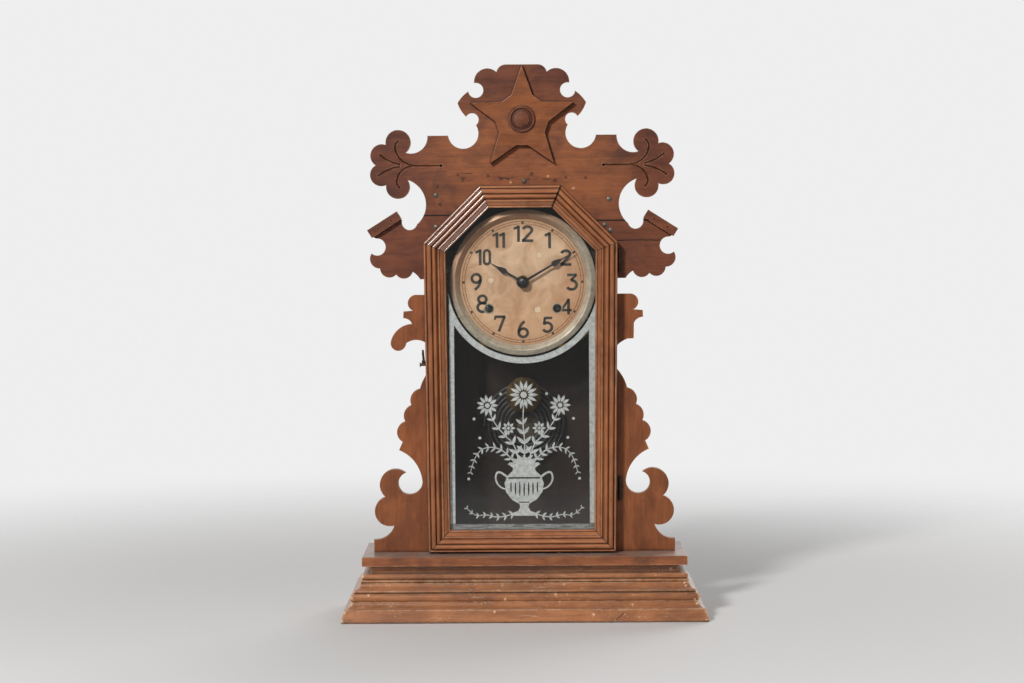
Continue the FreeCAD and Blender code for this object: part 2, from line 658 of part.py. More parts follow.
def door_corners(inset):
    """Corners of the door's outline (x, z), moved in by an inset, clockwise from the lower left."""
    foot = DOOR_HALF - DOOR_TAPER
    points = [(-foot, DOOR_BOTTOM), (-DOOR_HALF, DOOR_SHOULDER), (-DOOR_HALF + DOOR_CORNER, DOOR_TOP),
              (DOOR_HALF - DOOR_CORNER, DOOR_TOP), (DOOR_HALF, DOOR_SHOULDER), (foot, DOOR_BOTTOM)]
    points = [(x + DOOR_SIDE_SHIFT, z) for x, z in points]
    lines = []
    for a, b in zip(points, points[1:] + points[:1]):
        length = math.dist(a, b)
        ux, uz = (b[0] - a[0]) / length, (b[1] - a[1]) / length
        lines.append((a[0] + uz * inset, a[1] - ux * inset, ux, uz))
    corners = []
    for (ax, az, au, aw), (bx, bz, bu, bw) in zip(lines[-1:] + lines[:-1], lines):
        t = ((bx - ax) * bw - (bz - az) * bu) / (au * bw - aw * bu)
        corners.append((ax + t * au, az + t * aw))
    return corners


def door_left_edge(z):
    """Where the door's left edge is, at a height below its shoulders."""
    return DOOR_LEFT + DOOR_TAPER * (DOOR_SHOULDER - z) / (DOOR_SHOULDER - DOOR_BOTTOM)


def frame_pieces(profile, inset, width):
    """Six mitred lengths of a moulding round the door: the profile holds (inset, height) points."""
    outer, inner = door_corners(inset), door_corners(inset + width)
    pieces = []
    for i in range(6):
        j = (i + 1) % 6
        a, b = outer[i], outer[j]
        length = math.dist(a, b)
        ux, uz = (b[0] - a[0]) / length, (b[1] - a[1]) / length
        run = width + 5
        place = lambda p: Vector(a[0] - ux * run + uz * (p[0] - inset), DOOR_BACK_Y - p[1],
                                 a[1] - uz * run - ux * (p[0] - inset))
        bar = closed_face(profile, place).extrude(Vector(ux, 0, uz) * (length + 2 * run))
        plan = [outer[i], outer[j], inner[j], inner[i]]
        cut = upright(outline(plan[0], plan[1:]), DOOR_BACK_Y - DOOR_THICKNESS - 1, DOOR_THICKNESS + 2)
        pieces.append(bar.common(cut).Solids[0])
    return pieces


def door_profile():
    """Section of the door's moulding: distance in from the outer edge, and height over the back."""
    face = DOOR_THICKNESS
    seat = STRIP_THICKNESS + GLASS_THICKNESS
    rebate = RAIL_WIDTH - REBATE_WIDTH
    return outline((0, 0), [
        (0, face - 5.4), (0.4, face - 4.3), ((1.3, face - 3.4), (2.3, face - 4.0)),
        (3.0, face - 4.8), (3.5, face - 2.7), ((5.8, face), (8.0, face - 2.3)),
        (8.5, face - 3.2), (9.0, face - 2.2), ((10.8, face - 0.8), (12.4, face - 2.4)),
        ((12.9, face - 4.3), (14.0, face - 5.5)), (14.6, face - 4.2),
        ((15.6, face - 3.6), (16.5, face - 4.4)), (16.9, face - 5.3), (17.3, face - 4.9),
        (RAIL_WIDTH - 2.4, face - 7.2), (RAIL_WIDTH - 2.0, face - 8.0),
        ((RAIL_WIDTH - 1.1, face - 6.9), (RAIL_WIDTH - 0.2, face - 8.0)),
        (RAIL_WIDTH, face - 9.0), (RAIL_WIDTH, seat), (rebate, seat), (rebate, 0)])


def make_door():
    names = ("door_left_stile", "door_left_diagonal", "door_top_rail",
             "door_right_diagonal", "door_right_stile", "door_bottom_rail")
    for name, piece in zip(names, frame_pieces(door_profile(), 0, RAIL_WIDTH)):
        save(name, piece)

    glass_inset = RAIL_WIDTH - REBATE_WIDTH + GLAZING_PLAY
    corners = door_corners(glass_inset)
    save("door_glass", upright(outline(corners[0], corners[1:]), GLASS_FRONT_Y, GLASS_THICKNESS))

    strip_width = REBATE_WIDTH - GLAZING_PLAY
    strip = outline((glass_inset, 0), [
        (glass_inset + strip_width, 0.6), (glass_inset + strip_width, STRIP_THICKNESS),
        (glass_inset, STRIP_THICKNESS)])
    save("glazing_strips", *frame_pieces(strip, glass_inset, strip_width))


HINGE_X = DOOR_RIGHT + HINGE_KNUCKLE_RADIUS + 0.4
HINGE_Y = BOARD_FRONT_Y - HINGE_KNUCKLE_RADIUS - SIDE_PLAY


def knuckle(z0, z1):
    return Part.makeCylinder(HINGE_KNUCKLE_RADIUS, z1 - z0, Vector(HINGE_X, HINGE_Y, z0))


def hinge_leaf(knuckle_spans, back_y, z0, z1):
    """Flat leaf with its back face at y = back_y, and a tongue to each of its knuckles."""
    leaf = block(DOOR_RIGHT - HINGE_LEAF_WIDTH, DOOR_RIGHT - 0.2, back_y - HINGE_LEAF, back_y, z0, z1)
    shapes = [leaf]
    for k0, k1 in knuckle_spans:
        shapes.append(block(DOOR_RIGHT - 1.0, HINGE_X, back_y - HINGE_LEAF, back_y, k0, k1))
        shapes.append(knuckle(k0, k1))
    return joined(*shapes)


def make_hinges():
    case_leaves, door_leaves = [], []
    for middle in (SHELF_TOP + LOWER_HINGE_HEIGHT, CASE_TOP - UPPER_HINGE_DROP):
        z0 = middle - HINGE_LENGTH / 2
        z1 = z0 + HINGE_LENGTH
        third = HINGE_LENGTH / 3
        pin = Part.makeCylinder(HINGE_PIN_RADIUS, HINGE_LENGTH, Vector(HINGE_X, HINGE_Y, z0))
        outer_spans = [(z0, z0 + third - SIDE_PLAY), (z1 - third + SIDE_PLAY, z1)]
        case_leaf = hinge_leaf(outer_spans, BOARD_FRONT_Y, z0, z1)
        case_leaves.append(joined(case_leaf, pin))
        bore = Part.makeCylinder(HINGE_PIN_RADIUS + RUNNING_FIT, HINGE_LENGTH, Vector(HINGE_X, HINGE_Y, z0))
        door_leaf = hinge_leaf([(z0 + third, z1 - third)], DOOR_BACK_Y + HINGE_LEAF, z0, z1)
        door_leaves.append(door_leaf.cut(bore))
    save("hinge_case_leaves", *case_leaves)
    save("hinge_door_leaves", *door_leaves)


LATCH_Z = CASE_TOP - BRACKET_DROP - LATCH_BELOW_BRACKET
LATCH_X = DOOR_LEFT - 0.6
STUD_Y = DOOR_BACK_Y - 9.0
LATCH_PIVOT_Y = STUD_Y + LATCH_REACH


def rod_across(radius, x0, x1, y, z):
    """Round bar along X."""
    return Part.makeCylinder(radius, x1 - x0, Vector(x0, y, z), Vector(1, 0, 0))


def make_latch():
    stud_head = LATCH_X - LATCH_THICKNESS - 1.4
    stud_root = door_left_edge(LATCH_Z)
    stud = joined(rod_across(STUD_RADIUS, stud_head, stud_root, STUD_Y, LATCH_Z),
                  rod_across(STUD_RADIUS * 1.7, stud_head - 1.0, stud_head, STUD_Y, LATCH_Z))
    root_trim = upright(outline((DOOR_LEFT - 20, LATCH_Z - 10), [
        (door_left_edge(LATCH_Z - 10), LATCH_Z - 10), (door_left_edge(LATCH_Z + 10), LATCH_Z + 10),
        (DOOR_LEFT - 20, LATCH_Z + 10)]), STUD_Y - 10, 20)
    save("latch_stud", stud.common(root_trim).Solids[0])

    outer = LATCH_X - LATCH_THICKNESS
    screw = joined(rod_across(LATCH_SCREW_RADIUS, outer - 1.0, -CASE_HALF, LATCH_PIVOT_Y, LATCH_Z),
                   rod_across(LATCH_SCREW_RADIUS * 1.9, outer - 1.0 - SIDE_PLAY, outer - SIDE_PLAY,
                              LATCH_PIVOT_Y, LATCH_Z),
                   rod_across(LATCH_SCREW_RADIUS * 1.9, LATCH_X + SIDE_PLAY, -CASE_HALF,
                              LATCH_PIVOT_Y, LATCH_Z))
    save("latch_screw", screw)

    half = LATCH_BAR / 2
    tip = STUD_Y - STUD_RADIUS - 3.2
    bar = block(outer, LATCH_X, tip, LATCH_PIVOT_Y, LATCH_Z - half, LATCH_Z + half)
    eye = rod_across(half + 0.6, outer, LATCH_X, LATCH_PIVOT_Y, LATCH_Z)
    hole = rod_across(LATCH_SCREW_RADIUS + RUNNING_FIT, outer, LATCH_X, LATCH_PIVOT_Y, LATCH_Z)
    notch_half = STUD_RADIUS + 0.5
    notch = block(outer, LATCH_X, STUD_Y - notch_half, STUD_Y + notch_half, LATCH_Z - half, LATCH_Z)
    seat = rod_across(notch_half, outer, LATCH_X, STUD_Y, LATCH_Z)
    hook = joined(bar, eye).cut(hole).cut(notch).cut(seat)
    hook.rotate(Vector(0, LATCH_PIVOT_Y, LATCH_Z), Vector(1, 0, 0), -LATCH_TILT)
    save("latch_hook", hook)


def make_dial():
    centre = on_dial(CENTRE)
    tab_half = DIAL_RADIUS + DIAL_TAB_REACH
    plate = rod(DIAL_RADIUS, DIAL_FRONT_Y, DIAL_BACK_Y, centre)
    tabs = block(-tab_half, tab_half, DIAL_FRONT_Y, DIAL_BACK_Y,
                 DIAL_Z - DIAL_TAB_HEIGHT / 2, DIAL_Z + DIAL_TAB_HEIGHT / 2)
    plate = joined(plate, tabs)
    plate = plate.cut(rod(DIAL_HOLE_RADIUS, DIAL_FRONT_Y, DIAL_BACK_Y, centre))
    for winding in (TIME_WINDING, STRIKE_WINDING):
        spot = on_dial(winding)
        eyelet_radius = WINDING_HOLE_RADIUS + EYELET_WIDTH
        plate = plate.fuse(rod(eyelet_radius, DIAL_FRONT_Y - EYELET_HEIGHT, DIAL_BACK_Y, spot))
        plate = plate.cut(rod(WINDING_HOLE_RADIUS, DIAL_FRONT_Y - 1, DIAL_BACK_Y + 1, spot))

    screws, screw_x = [], DIAL_RADIUS + DIAL_TAB_REACH / 2
    for x in (-screw_x, screw_x):
        for z in (-DIAL_SCREW_SPREAD / 2, DIAL_SCREW_SPREAD / 2):
            spot = on_dial((x, z))
            plate = plate.cut(rod(DIAL_SCREW_RADIUS, DIAL_FRONT_Y, DIAL_BACK_Y, spot))
            shank = rod(DIAL_SCREW_RADIUS, DIAL_FRONT_Y, DIAL_BACK_Y + 5, spot)
            head = rod(DIAL_SCREW_RADIUS * 1.9, DIAL_FRONT_Y - 1.0, DIAL_FRONT_Y, spot)
            slot = block(spot[0] - 3, spot[0] + 3, DIAL_FRONT_Y - 1.0, DIAL_FRONT_Y - 0.5,
                         spot[1] - 0.3, spot[1] + 0.3)
            screws.append(joined(shank, head).cut(slot))
    save("dial_plate", plate.removeSplitter())
    save("dial_screws", *screws)

    cleats = []
    for side in (-1, 1):
        x0, x1 = sorted((side * (INNER_HALF - CLEAT_WIDTH), side * INNER_HALF))
        cleat = block(x0, x1, DIAL_BACK_Y, PLATE_FRONT_Y,
                      DIAL_Z - CLEAT_HEIGHT / 2, DIAL_Z + CLEAT_HEIGHT / 2)
        for z in (-DIAL_SCREW_SPREAD / 2, DIAL_SCREW_SPREAD / 2):
            spot = on_dial((side * screw_x, z))
            cleat = cleat.cut(rod(DIAL_SCREW_RADIUS, DIAL_BACK_Y, DIAL_BACK_Y + 5, spot))
        cleats.append(cleat)
    save("dial_cleats", *cleats)

    face, crest = DIAL_FRONT_Y, DIAL_FRONT_Y - BEZEL_HEIGHT
    band = BEZEL_RADIUS - BEZEL_BAND
    profile = outline((BEZEL_BORE_RADIUS, face), [
        (BEZEL_RADIUS, face), (BEZEL_RADIUS, face - BEZEL_EDGE_HEIGHT + 0.4),
        (BEZEL_RADIUS - 0.5, face - BEZEL_EDGE_HEIGHT), (band, crest), (band - 0.5, crest + 0.2),
        (BEZEL_BORE_RADIUS, face - 0.8)])
    save("dial_bezel", turned(profile, centre))


def tooth_outline(teeth, module, addendum, tip_share, width_share, turn):
    """Corners of a toothed wheel, with one tooth at the bearing turn."""
    pitch = teeth * module / 2
    step = 360 / teeth
    root_share = width_share * 1.25
    root, tip = pitch - 1.2 * module, pitch + addendum * module
    flanks = [(root, -root_share), (pitch, -width_share), (tip, -tip_share),
              (tip, tip_share), (pitch, width_share), (root, root_share)]
    points = []
    for tooth in range(teeth):
        for radius, share in flanks:
            points.append(polar((0, 0), radius, turn + step * (tooth + share / 2)))
    return points


def toothed(centre, y0, thickness, points):
    spot = on_dial(centre)
    corners = [(spot[0] + x, spot[1] + z) for x, z in points]
    return upright(outline(corners[0], corners[1:]), y0, thickness)


def crossed_out(wheel, centre, y0, thickness, hub, rim, arms, arm_width):
    """The wheel with open spaces between its hub and its rim, leaving straight arms."""
    spot = on_dial(centre)
    windows = ring(rim, hub, y0, y0 + thickness, spot)
    for arm in range(arms):
        bar = block(0, rim + 1, y0, y0 + thickness, -arm_width / 2, arm_width / 2)
        bar.rotate(Vector(0, 0, 0), Vector(0, 1, 0), 360 / arms * arm + 20)
        bar.translate(Vector(spot[0], 0, spot[1]))
        windows = windows.cut(bar)
    return wheel.cut(windows)


def train_wheel(centre, y0, thickness, teeth, module, turn, hub, arms):
    """Crossed-out brass wheel that drives a lantern pinion."""
    wheel = toothed(centre, y0, thickness, tooth_outline(teeth, module, 1.0, 0.12, 0.45, turn))
    rim = (teeth / 2 - 1.2) * module - 2.2
    return crossed_out(wheel, centre, y0, thickness, hub, rim, arms, 2.4)


def motion_wheel(centre, y0, thickness, teeth, turn):
    """Wheel or pinion of the work that turns the hands."""
    return toothed(centre, y0, thickness, tooth_outline(teeth, MOTION_MODULE, 0.8, 0.16, 0.4, turn))


def lantern_pinion(centre, wheel_y, wheel_thickness, module, driver):
    """Two shrouds and round pins astride a driving wheel, with a gap facing the driver's tooth."""
    spot = on_dial(centre)
    y0, y1 = wheel_y - PINION_PLAY, wheel_y + wheel_thickness + PINION_PLAY
    pitch = LANTERN_PINS * module / 2
    shapes = [rod(pitch + 0.7 * module, y0 - PINION_SHROUD, y0, spot),
              rod(pitch + 0.7 * module, y1, y1 + PINION_SHROUD, spot)]
    turn = bearing_between(centre, driver) + 180 / LANTERN_PINS
    for pin in range(LANTERN_PINS):
        place = polar(spot, pitch, turn + 360 / LANTERN_PINS * pin)
        shapes.append(rod(0.4 * module, y0 - PINION_SHROUD, y1 + PINION_SHROUD, place))
    return shapes


def arbor(centre, radius=ARBOR_RADIUS):
    """Bar between the plates with a pivot in each."""
    spot = on_dial(centre)
    return [rod(radius, TRAIN_FRONT_Y + SIDE_PLAY, TRAIN_BACK_Y - SIDE_PLAY, spot),
            rod(PIVOT_RADIUS, PLATE_FRONT_Y, PLATE_BACK_Y, spot)]


def make_plates():
    corners = PLATE_HALF + [(-x, z) for x, z in reversed(PLATE_HALF[1:-1])]
    corners = [on_dial(p) for p in corners]
    pivots = (THIRD, ESCAPE, VERGE, PIN_WHEEL)
    for name, y0 in (("front_plate", PLATE_FRONT_Y), ("back_plate", TRAIN_BACK_Y)):
        plate = upright(outline(corners[0], corners[1:]), y0, PLATE_THICKNESS)
        holes = [rod(PIVOT_RADIUS + RUNNING_FIT, y0, y0 + PLATE_THICKNESS, on_dial(p)) for p in pivots]
        for winding in (TIME_WINDING, STRIKE_WINDING):
            holes.append(rod(WINDING_ARBOR_RADIUS + RUNNING_FIT, y0, y0 + PLATE_THICKNESS, on_dial(winding)))
        holes.append(rod(CENTRE_ARBOR_RADIUS + RUNNING_FIT, y0, y0 + PLATE_THICKNESS, on_dial(CENTRE)))
        holes.append(rod(ARBOR_RADIUS + RUNNING_FIT, y0, y0 + PLATE_THICKNESS, on_dial(HAMMER)))
        if name == "back_plate":
            holes.append(rod(ARBOR_RADIUS + RUNNING_FIT, y0, y0 + PLATE_THICKNESS, on_dial(VERGE)))
        for pillar in PILLARS_TO_BACK + [PILLAR_BELOW]:
            holes.append(rod(PILLAR_TENON_RADIUS, y0, y0 + PLATE_THICKNESS, on_dial(pillar)))
        plate = plate.cut(Part.makeCompound(holes))
        if name == "front_plate":
            stud = rod(ARBOR_RADIUS, DIAL_BACK_Y + 0.8, PLATE_FRONT_Y, on_dial(MINUTE_STUD))
            plate = joined(plate, stud)
        save(name, plate)

    pillars = []
    for place in PILLARS_TO_BACK + [PILLAR_BELOW]:
        spot = on_dial(place)
        end = PLATE_BACK_Y if place == PILLAR_BELOW else CASE_BACK_Y
        shapes = [rod(PILLAR_RADIUS, TRAIN_FRONT_Y, TRAIN_BACK_Y, spot),
                  rod(PILLAR_TENON_RADIUS, PLATE_FRONT_Y - 1.0, end, spot)]
        if end == CASE_BACK_Y:
            shapes.append(rod(PILLAR_RADIUS, PLATE_BACK_Y, end, spot))
            shapes.append(rod(PILLAR_RADIUS * 1.8, end - 2.0, end, spot))
        pillars.append(joined(*shapes))
    save("plate_pillars", *pillars)


def make_motion_work():
    centre, stud = on_dial(CENTRE), on_dial(MINUTE_STUD)
    down = bearing_between(CENTRE, MINUTE_STUD)
    minute_y1 = MINUTE_WHEEL_Y + WHEEL_THICKNESS
    cannon_y1 = PLATE_FRONT_Y - SIDE_PLAY
    tube_end = MINUTE_HAND_Y

    pinion_length = cannon_y1 - MINUTE_WHEEL_Y + 0.5
    cannon = joined(motion_wheel(CENTRE, MINUTE_WHEEL_Y - 0.5, pinion_length, CANNON_TEETH, down),
                    rod(CANNON_RADIUS, tube_end, cannon_y1, centre))
    save("cannon_pinion", cannon.cut(rod(CENTRE_ARBOR_RADIUS + RUNNING_FIT, tube_end, cannon_y1, centre)))

    meet = down + 180
    pinion_y0 = HOUR_WHEEL_Y - 0.5
    half_tooth = 180 / MINUTE_TEETH
    minute = joined(
        motion_wheel(MINUTE_STUD, MINUTE_WHEEL_Y, WHEEL_THICKNESS, MINUTE_TEETH, meet + half_tooth),
        motion_wheel(MINUTE_STUD, pinion_y0, MINUTE_WHEEL_Y - pinion_y0, MINUTE_PINION_TEETH, meet))
    save("minute_wheel", minute.cut(rod(ARBOR_RADIUS + RUNNING_FIT, pinion_y0, minute_y1, stud)))

    hour = joined(motion_wheel(CENTRE, HOUR_WHEEL_Y, WHEEL_THICKNESS, HOUR_TEETH, down + 180 / HOUR_TEETH),
                  rod(PIPE_RADIUS, HOUR_HAND_Y, HOUR_WHEEL_Y, centre))
    bore = rod(CANNON_RADIUS + RUNNING_FIT, HOUR_HAND_Y, HOUR_WHEEL_Y + WHEEL_THICKNESS, centre)
    save("hour_wheel", hour.cut(bore))


def hand(length, spade_at, front, bore):
    """Spade hand pointing up from the dial's centre, with a round boss."""
    boss = bore + 2.4
    spade_half, spade_low, spade_high = 3.15, spade_at - 6.2, spade_at + 6.2
    right = outline((0, spade_low), [
        ((2.0, spade_low + 1.0), (spade_half, spade_at - 2.2)),
        ((2.3, spade_at + 1.6), (0.75, spade_high)), (0.3, length), (0, length)])
    spade = upright(right + flipped(right), front, HAND_THICKNESS)
    shaft_half = outline((0, 0), [(1.5, 0), (0.9, spade_low + 1.2), (0, spade_low + 1.2)])
    shaft = upright(shaft_half + flipped(shaft_half), front, HAND_THICKNESS)
    shape = joined(rod(boss, front, front + HAND_THICKNESS, (0, 0)), shaft, spade)
    return shape.cut(rod(bore, front, front + HAND_THICKNESS, (0, 0)))


def make_hands():
    hour = hand(HOUR_HAND_LENGTH, 25.7, HOUR_HAND_Y, PIPE_RADIUS)
    minute = hand(MINUTE_HAND_LENGTH, 41.0, MINUTE_HAND_Y, CANNON_RADIUS)
    pair = (("hour_hand", hour, HOUR_HAND_ANGLE), ("minute_hand", minute, MINUTE_HAND_ANGLE))
    for name, shape, angle in pair:
        shape.rotate(Vector(0, 0, 0), Vector(0, 1, 0), angle)
        shape.translate(Vector(0, 0, DIAL_Z))
        save(name, shape)

    back = MINUTE_HAND_Y
    bore = CENTRE_ARBOR_RADIUS + RUNNING_FIT
    profile = outline((bore, back), [
        (NUT_RADIUS - 1.0, back), (NUT_RADIUS - 1.0, back - 0.8), (NUT_RADIUS, back - 1.2),
        ((NUT_RADIUS * 0.72, back - NUT_HEIGHT + 1.0), (bore, back - NUT_HEIGHT))])
    save("hand_nut", turned(profile, on_dial(CENTRE)))


def make_going_train():
    centre = on_dial(CENTRE)
    nut_front = MINUTE_HAND_Y - NUT_HEIGHT
    centre_arbor = rod(CENTRE_ARBOR_RADIUS, nut_front - 0.4, PLATE_BACK_Y, centre)
    wheel = train_wheel(CENTRE, CENTRE_WHEEL_Y, WHEEL_THICKNESS, CENTRE_TEETH, CENTRE_WHEEL_MODULE,
                        bearing_between(CENTRE, THIRD), 5.0, 4)
    pinion = lantern_pinion(CENTRE, TIME_GREAT_Y, GREAT_WHEEL_THICKNESS, GREAT_MODULE, TIME_WINDING)
    save("centre_wheel", joined(centre_arbor, wheel, *pinion))

    wheel = train_wheel(THIRD, THIRD_WHEEL_Y, WHEEL_THICKNESS, THIRD_TEETH, THIRD_WHEEL_MODULE,
                        bearing_between(THIRD, ESCAPE), 4.0, 4)
    pinion = lantern_pinion(THIRD, CENTRE_WHEEL_Y, WHEEL_THICKNESS, CENTRE_WHEEL_MODULE, CENTRE)
    save("third_wheel", joined(*arbor(THIRD), wheel, *pinion))

    teeth = []
    for tooth in range(ESCAPE_TEETH):
        bearing = 360 / ESCAPE_TEETH * tooth
        teeth.append(polar((0, 0), ESCAPE_TIP_RADIUS - 2.0, bearing))
        teeth.append(polar((0, 0), ESCAPE_TIP_RADIUS, bearing + 1.0))
        teeth.append(polar((0, 0), ESCAPE_TIP_RADIUS - 2.0, bearing + 3.0))
    wheel = toothed(ESCAPE, ESCAPE_WHEEL_Y, WHEEL_THICKNESS, teeth)
    wheel = crossed_out(wheel, ESCAPE, ESCAPE_WHEEL_Y, WHEEL_THICKNESS, 3.6, ESCAPE_TIP_RADIUS - 3.6, 4, 1.8)
    pinion = lantern_pinion(ESCAPE, THIRD_WHEEL_Y, WHEEL_THICKNESS, THIRD_WHEEL_MODULE, THIRD)
    save("escape_wheel", joined(*arbor(ESCAPE), wheel, *pinion))


def great_wheel(winding, y0, turn):
    """Great wheel that turns freely on its winding arbor."""
    wheel = train_wheel(winding, y0, GREAT_WHEEL_THICKNESS, GREAT_TEETH, GREAT_MODULE, turn, 12.0, 5)
    bore = rod(WINDING_ARBOR_RADIUS + RUNNING_FIT, y0, y0 + GREAT_WHEEL_THICKNESS, on_dial(winding))
    return wheel.cut(bore)


def winding_arbor(winding, ratchet_y):
    """Arbor with its ratchet, and a square behind the dial's winding hole for the key."""
    spot = on_dial(winding)
    square_y0, square_y1 = DIAL_FRONT_Y - 0.4, PLATE_FRONT_Y - 1.0
    half = WINDING_SQUARE / 2
    teeth = []
    for tooth in range(RATCHET_TEETH):
        bearing = 360 / RATCHET_TEETH * tooth
        teeth.append(polar((0, 0), RATCHET_RADIUS - 1.4, bearing))
        teeth.append(polar((0, 0), RATCHET_RADIUS, bearing + 1.5))
    return joined(rod(WINDING_ARBOR_RADIUS, square_y1, PLATE_BACK_Y, spot),
                  block(spot[0] - half, spot[0] + half, square_y0, square_y1, spot[1] - half, spot[1] + half),
                  toothed(winding, ratchet_y, 1.6, teeth))


def spiral(start_radius, pitch, half_turns, tail):
    """Flat spiral of half turns (x, z) from (start_radius, 0), with a straight tail at each end."""
    steps, x = [], start_radius
    for half in range(half_turns):
        sign = 1 if half % 2 == 0 else -1
        radius = start_radius + half * pitch / 2
        middle = x - sign * radius
        x = x - 2 * sign * radius
        steps.append(((middle, sign * radius), (x, 0.0)))
    last = -1 if half_turns % 2 else 1
    steps.append((x, last * tail))
    return outline((start_radius, -tail), [(start_radius, 0.0)] + steps)


def mainspring(winding, y0):
    """Wound strip between its arbor and its outer coil."""
    inner_radius = WINDING_ARBOR_RADIUS + SIDE_PLAY + SPRING_STRIP / 2
    inner = spiral(inner_radius - SPRING_STRIP / 2, SPRING_PITCH, SPRING_HALF_TURNS, SPRING_STRIP)
    outer = spiral(inner_radius + SPRING_STRIP / 2, SPRING_PITCH, SPRING_HALF_TURNS, SPRING_STRIP)
    back = [(end, middle, start) for start, middle, end in reversed(outer)]
    strip = inner + [(inner[-1][2], None, back[0][0])] + back
    spot = on_dial(winding)
    return upright(moved(strip, spot[0], spot[1]), y0, SPRING_WIDTH)


def make_power():
    save("time_great_wheel", great_wheel(TIME_WINDING, TIME_GREAT_Y, bearing_between(TIME_WINDING, CENTRE)))
    save("strike_great_wheel", great_wheel(STRIKE_WINDING, STRIKE_GREAT_Y, PIN_WHEEL_BEARING))
    time_ratchet_y = TIME_GREAT_Y + GREAT_WHEEL_THICKNESS + SIDE_PLAY
    strike_ratchet_y = STRIKE_GREAT_Y - SIDE_PLAY - 1.6
    save("time_winding_arbor", winding_arbor(TIME_WINDING, time_ratchet_y))
    save("strike_winding_arbor", winding_arbor(STRIKE_WINDING, strike_ratchet_y))
    save("mainsprings", mainspring(TIME_WINDING, time_ratchet_y + 1.6 + SIDE_PLAY),
         mainspring(STRIKE_WINDING, strike_ratchet_y - SIDE_PLAY - SPRING_WIDTH))


def make_strike():
    spot = on_dial(PIN_WHEEL)
    wheel = rod(PIN_WHEEL_RIM_RADIUS, PIN_WHEEL_Y, PIN_WHEEL_Y + WHEEL_THICKNESS, spot)
    rim = PIN_WHEEL_RIM_RADIUS - 5.0
    wheel = crossed_out(wheel, PIN_WHEEL, PIN_WHEEL_Y, WHEEL_THICKNESS, 4.0, rim, 4, 2.4)
    shapes = arbor(PIN_WHEEL) + [wheel]
    shapes += lantern_pinion(PIN_WHEEL, STRIKE_GREAT_Y, GREAT_WHEEL_THICKNESS, GREAT_MODULE, STRIKE_WINDING)
    for pin in range(LIFTING_PINS):
        place = polar(spot, PIN_WHEEL_RIM_RADIUS - 2.5, 360 / LIFTING_PINS * pin)
        shapes.append(rod(0.6, PIN_WHEEL_Y - 2.5, PIN_WHEEL_Y + WHEEL_THICKNESS, place))
    save("strike_pin_wheel", joined(*shapes))

    gong = (0.0, GONG_Z)
    outer = GONG_START_RADIUS + (GONG_HALF_TURNS - 1) * GONG_PITCH / 2
    head = polar(gong, outer + GONG_WIRE_RADIUS + HAMMER_REST_GAP + HAMMER_HEAD_RADIUS, HAMMER_BEARING)
    pivot = on_dial(HAMMER)
    reach = math.dist(pivot, head)
    arm = Part.makeCylinder(ARBOR_RADIUS, reach, Vector(pivot[0], GONG_Y, pivot[1]),
                            Vector(head[0] - pivot[0], 0, head[1] - pivot[1]))
    tail_length = math.dist(HAMMER, PIN_WHEEL) - PIN_WHEEL_RIM_RADIUS + 2.5 - 0.6 - 1.0
    tail_y = PIN_WHEEL_Y - 1.5
    tail = Part.makeCylinder(ARBOR_RADIUS * 0.8, tail_length, Vector(pivot[0], tail_y, pivot[1]),
                             Vector(spot[0] - pivot[0], 0, spot[1] - pivot[1]))
    head_half = HAMMER_HEAD_RADIUS * 0.8
    weight = rod(HAMMER_HEAD_RADIUS, GONG_Y - head_half, GONG_Y + head_half, head)
    shaft = rod(ARBOR_RADIUS, PLATE_FRONT_Y, GONG_Y + ARBOR_RADIUS, pivot)
    save("hammer", joined(shaft, arm, tail, weight))


def make_gong():
    wire_path = spiral(GONG_START_RADIUS, GONG_PITCH, GONG_HALF_TURNS, 2 * GONG_WIRE_RADIUS)
    wire_path = moved(wire_path, 0, GONG_Z)
    edges = []
    for start, middle, end in wire_path:
        points = [Vector(p[0], GONG_Y, p[1]) for p in (start, middle, end) if p is not None]
        edges.append((Part.LineSegment(*points) if middle is None else Part.Arc(*points)).toShape())
    path = Part.Wire(edges)
    start = wire_path[0][0]
    foot = Vector(start[0], GONG_Y, start[1])
    section = Part.Wire(Part.makeCircle(GONG_WIRE_RADIUS, foot, Vector(0, 0, 1)))
    pipe = Part.BRepOffsetAPI.MakePipeShell(path)
    pipe.add(section)
    pipe.build()
    pipe.makeSolid()
    coil = pipe.shape()
    save("gong_coil", coil)
    report_coil(edges, coil)

    foot_top = start[1]
    post = block(GONG_START_RADIUS - 8.0, GONG_START_RADIUS + 1.6, GONG_Y - 2.5, CASE_BACK_Y,
                 foot_top - 3.6, foot_top)
    disc = rod(GONG_FOOT_RADIUS, CASE_BACK_Y - 3.0, CASE_BACK_Y, (GONG_START_RADIUS / 2, GONG_Z - 4.0))
    save("gong_base", joined(post, disc))


def report_coil(edges, coil):
    """Print the coil's least gap to itself, and its volume against wire section times length."""
    spots, run = [], 0.0
    for edge in edges:
        count = max(2, int(edge.Length / 2.0))
        spots += edge.discretize(count + 1)[:-1]
        run += edge.Length
    gap = 1e9
    for i, a in enumerate(spots):
        for b in spots[i + 12:]:
            gap = min(gap, a.distanceToPoint(b))
    section = math.pi * GONG_WIRE_RADIUS ** 2
    share = coil.Volume / (section * run)
    print(f"gong coil: least gap {gap - 2 * GONG_WIRE_RADIUS:.2f} mm, volume share {share:.4f}")


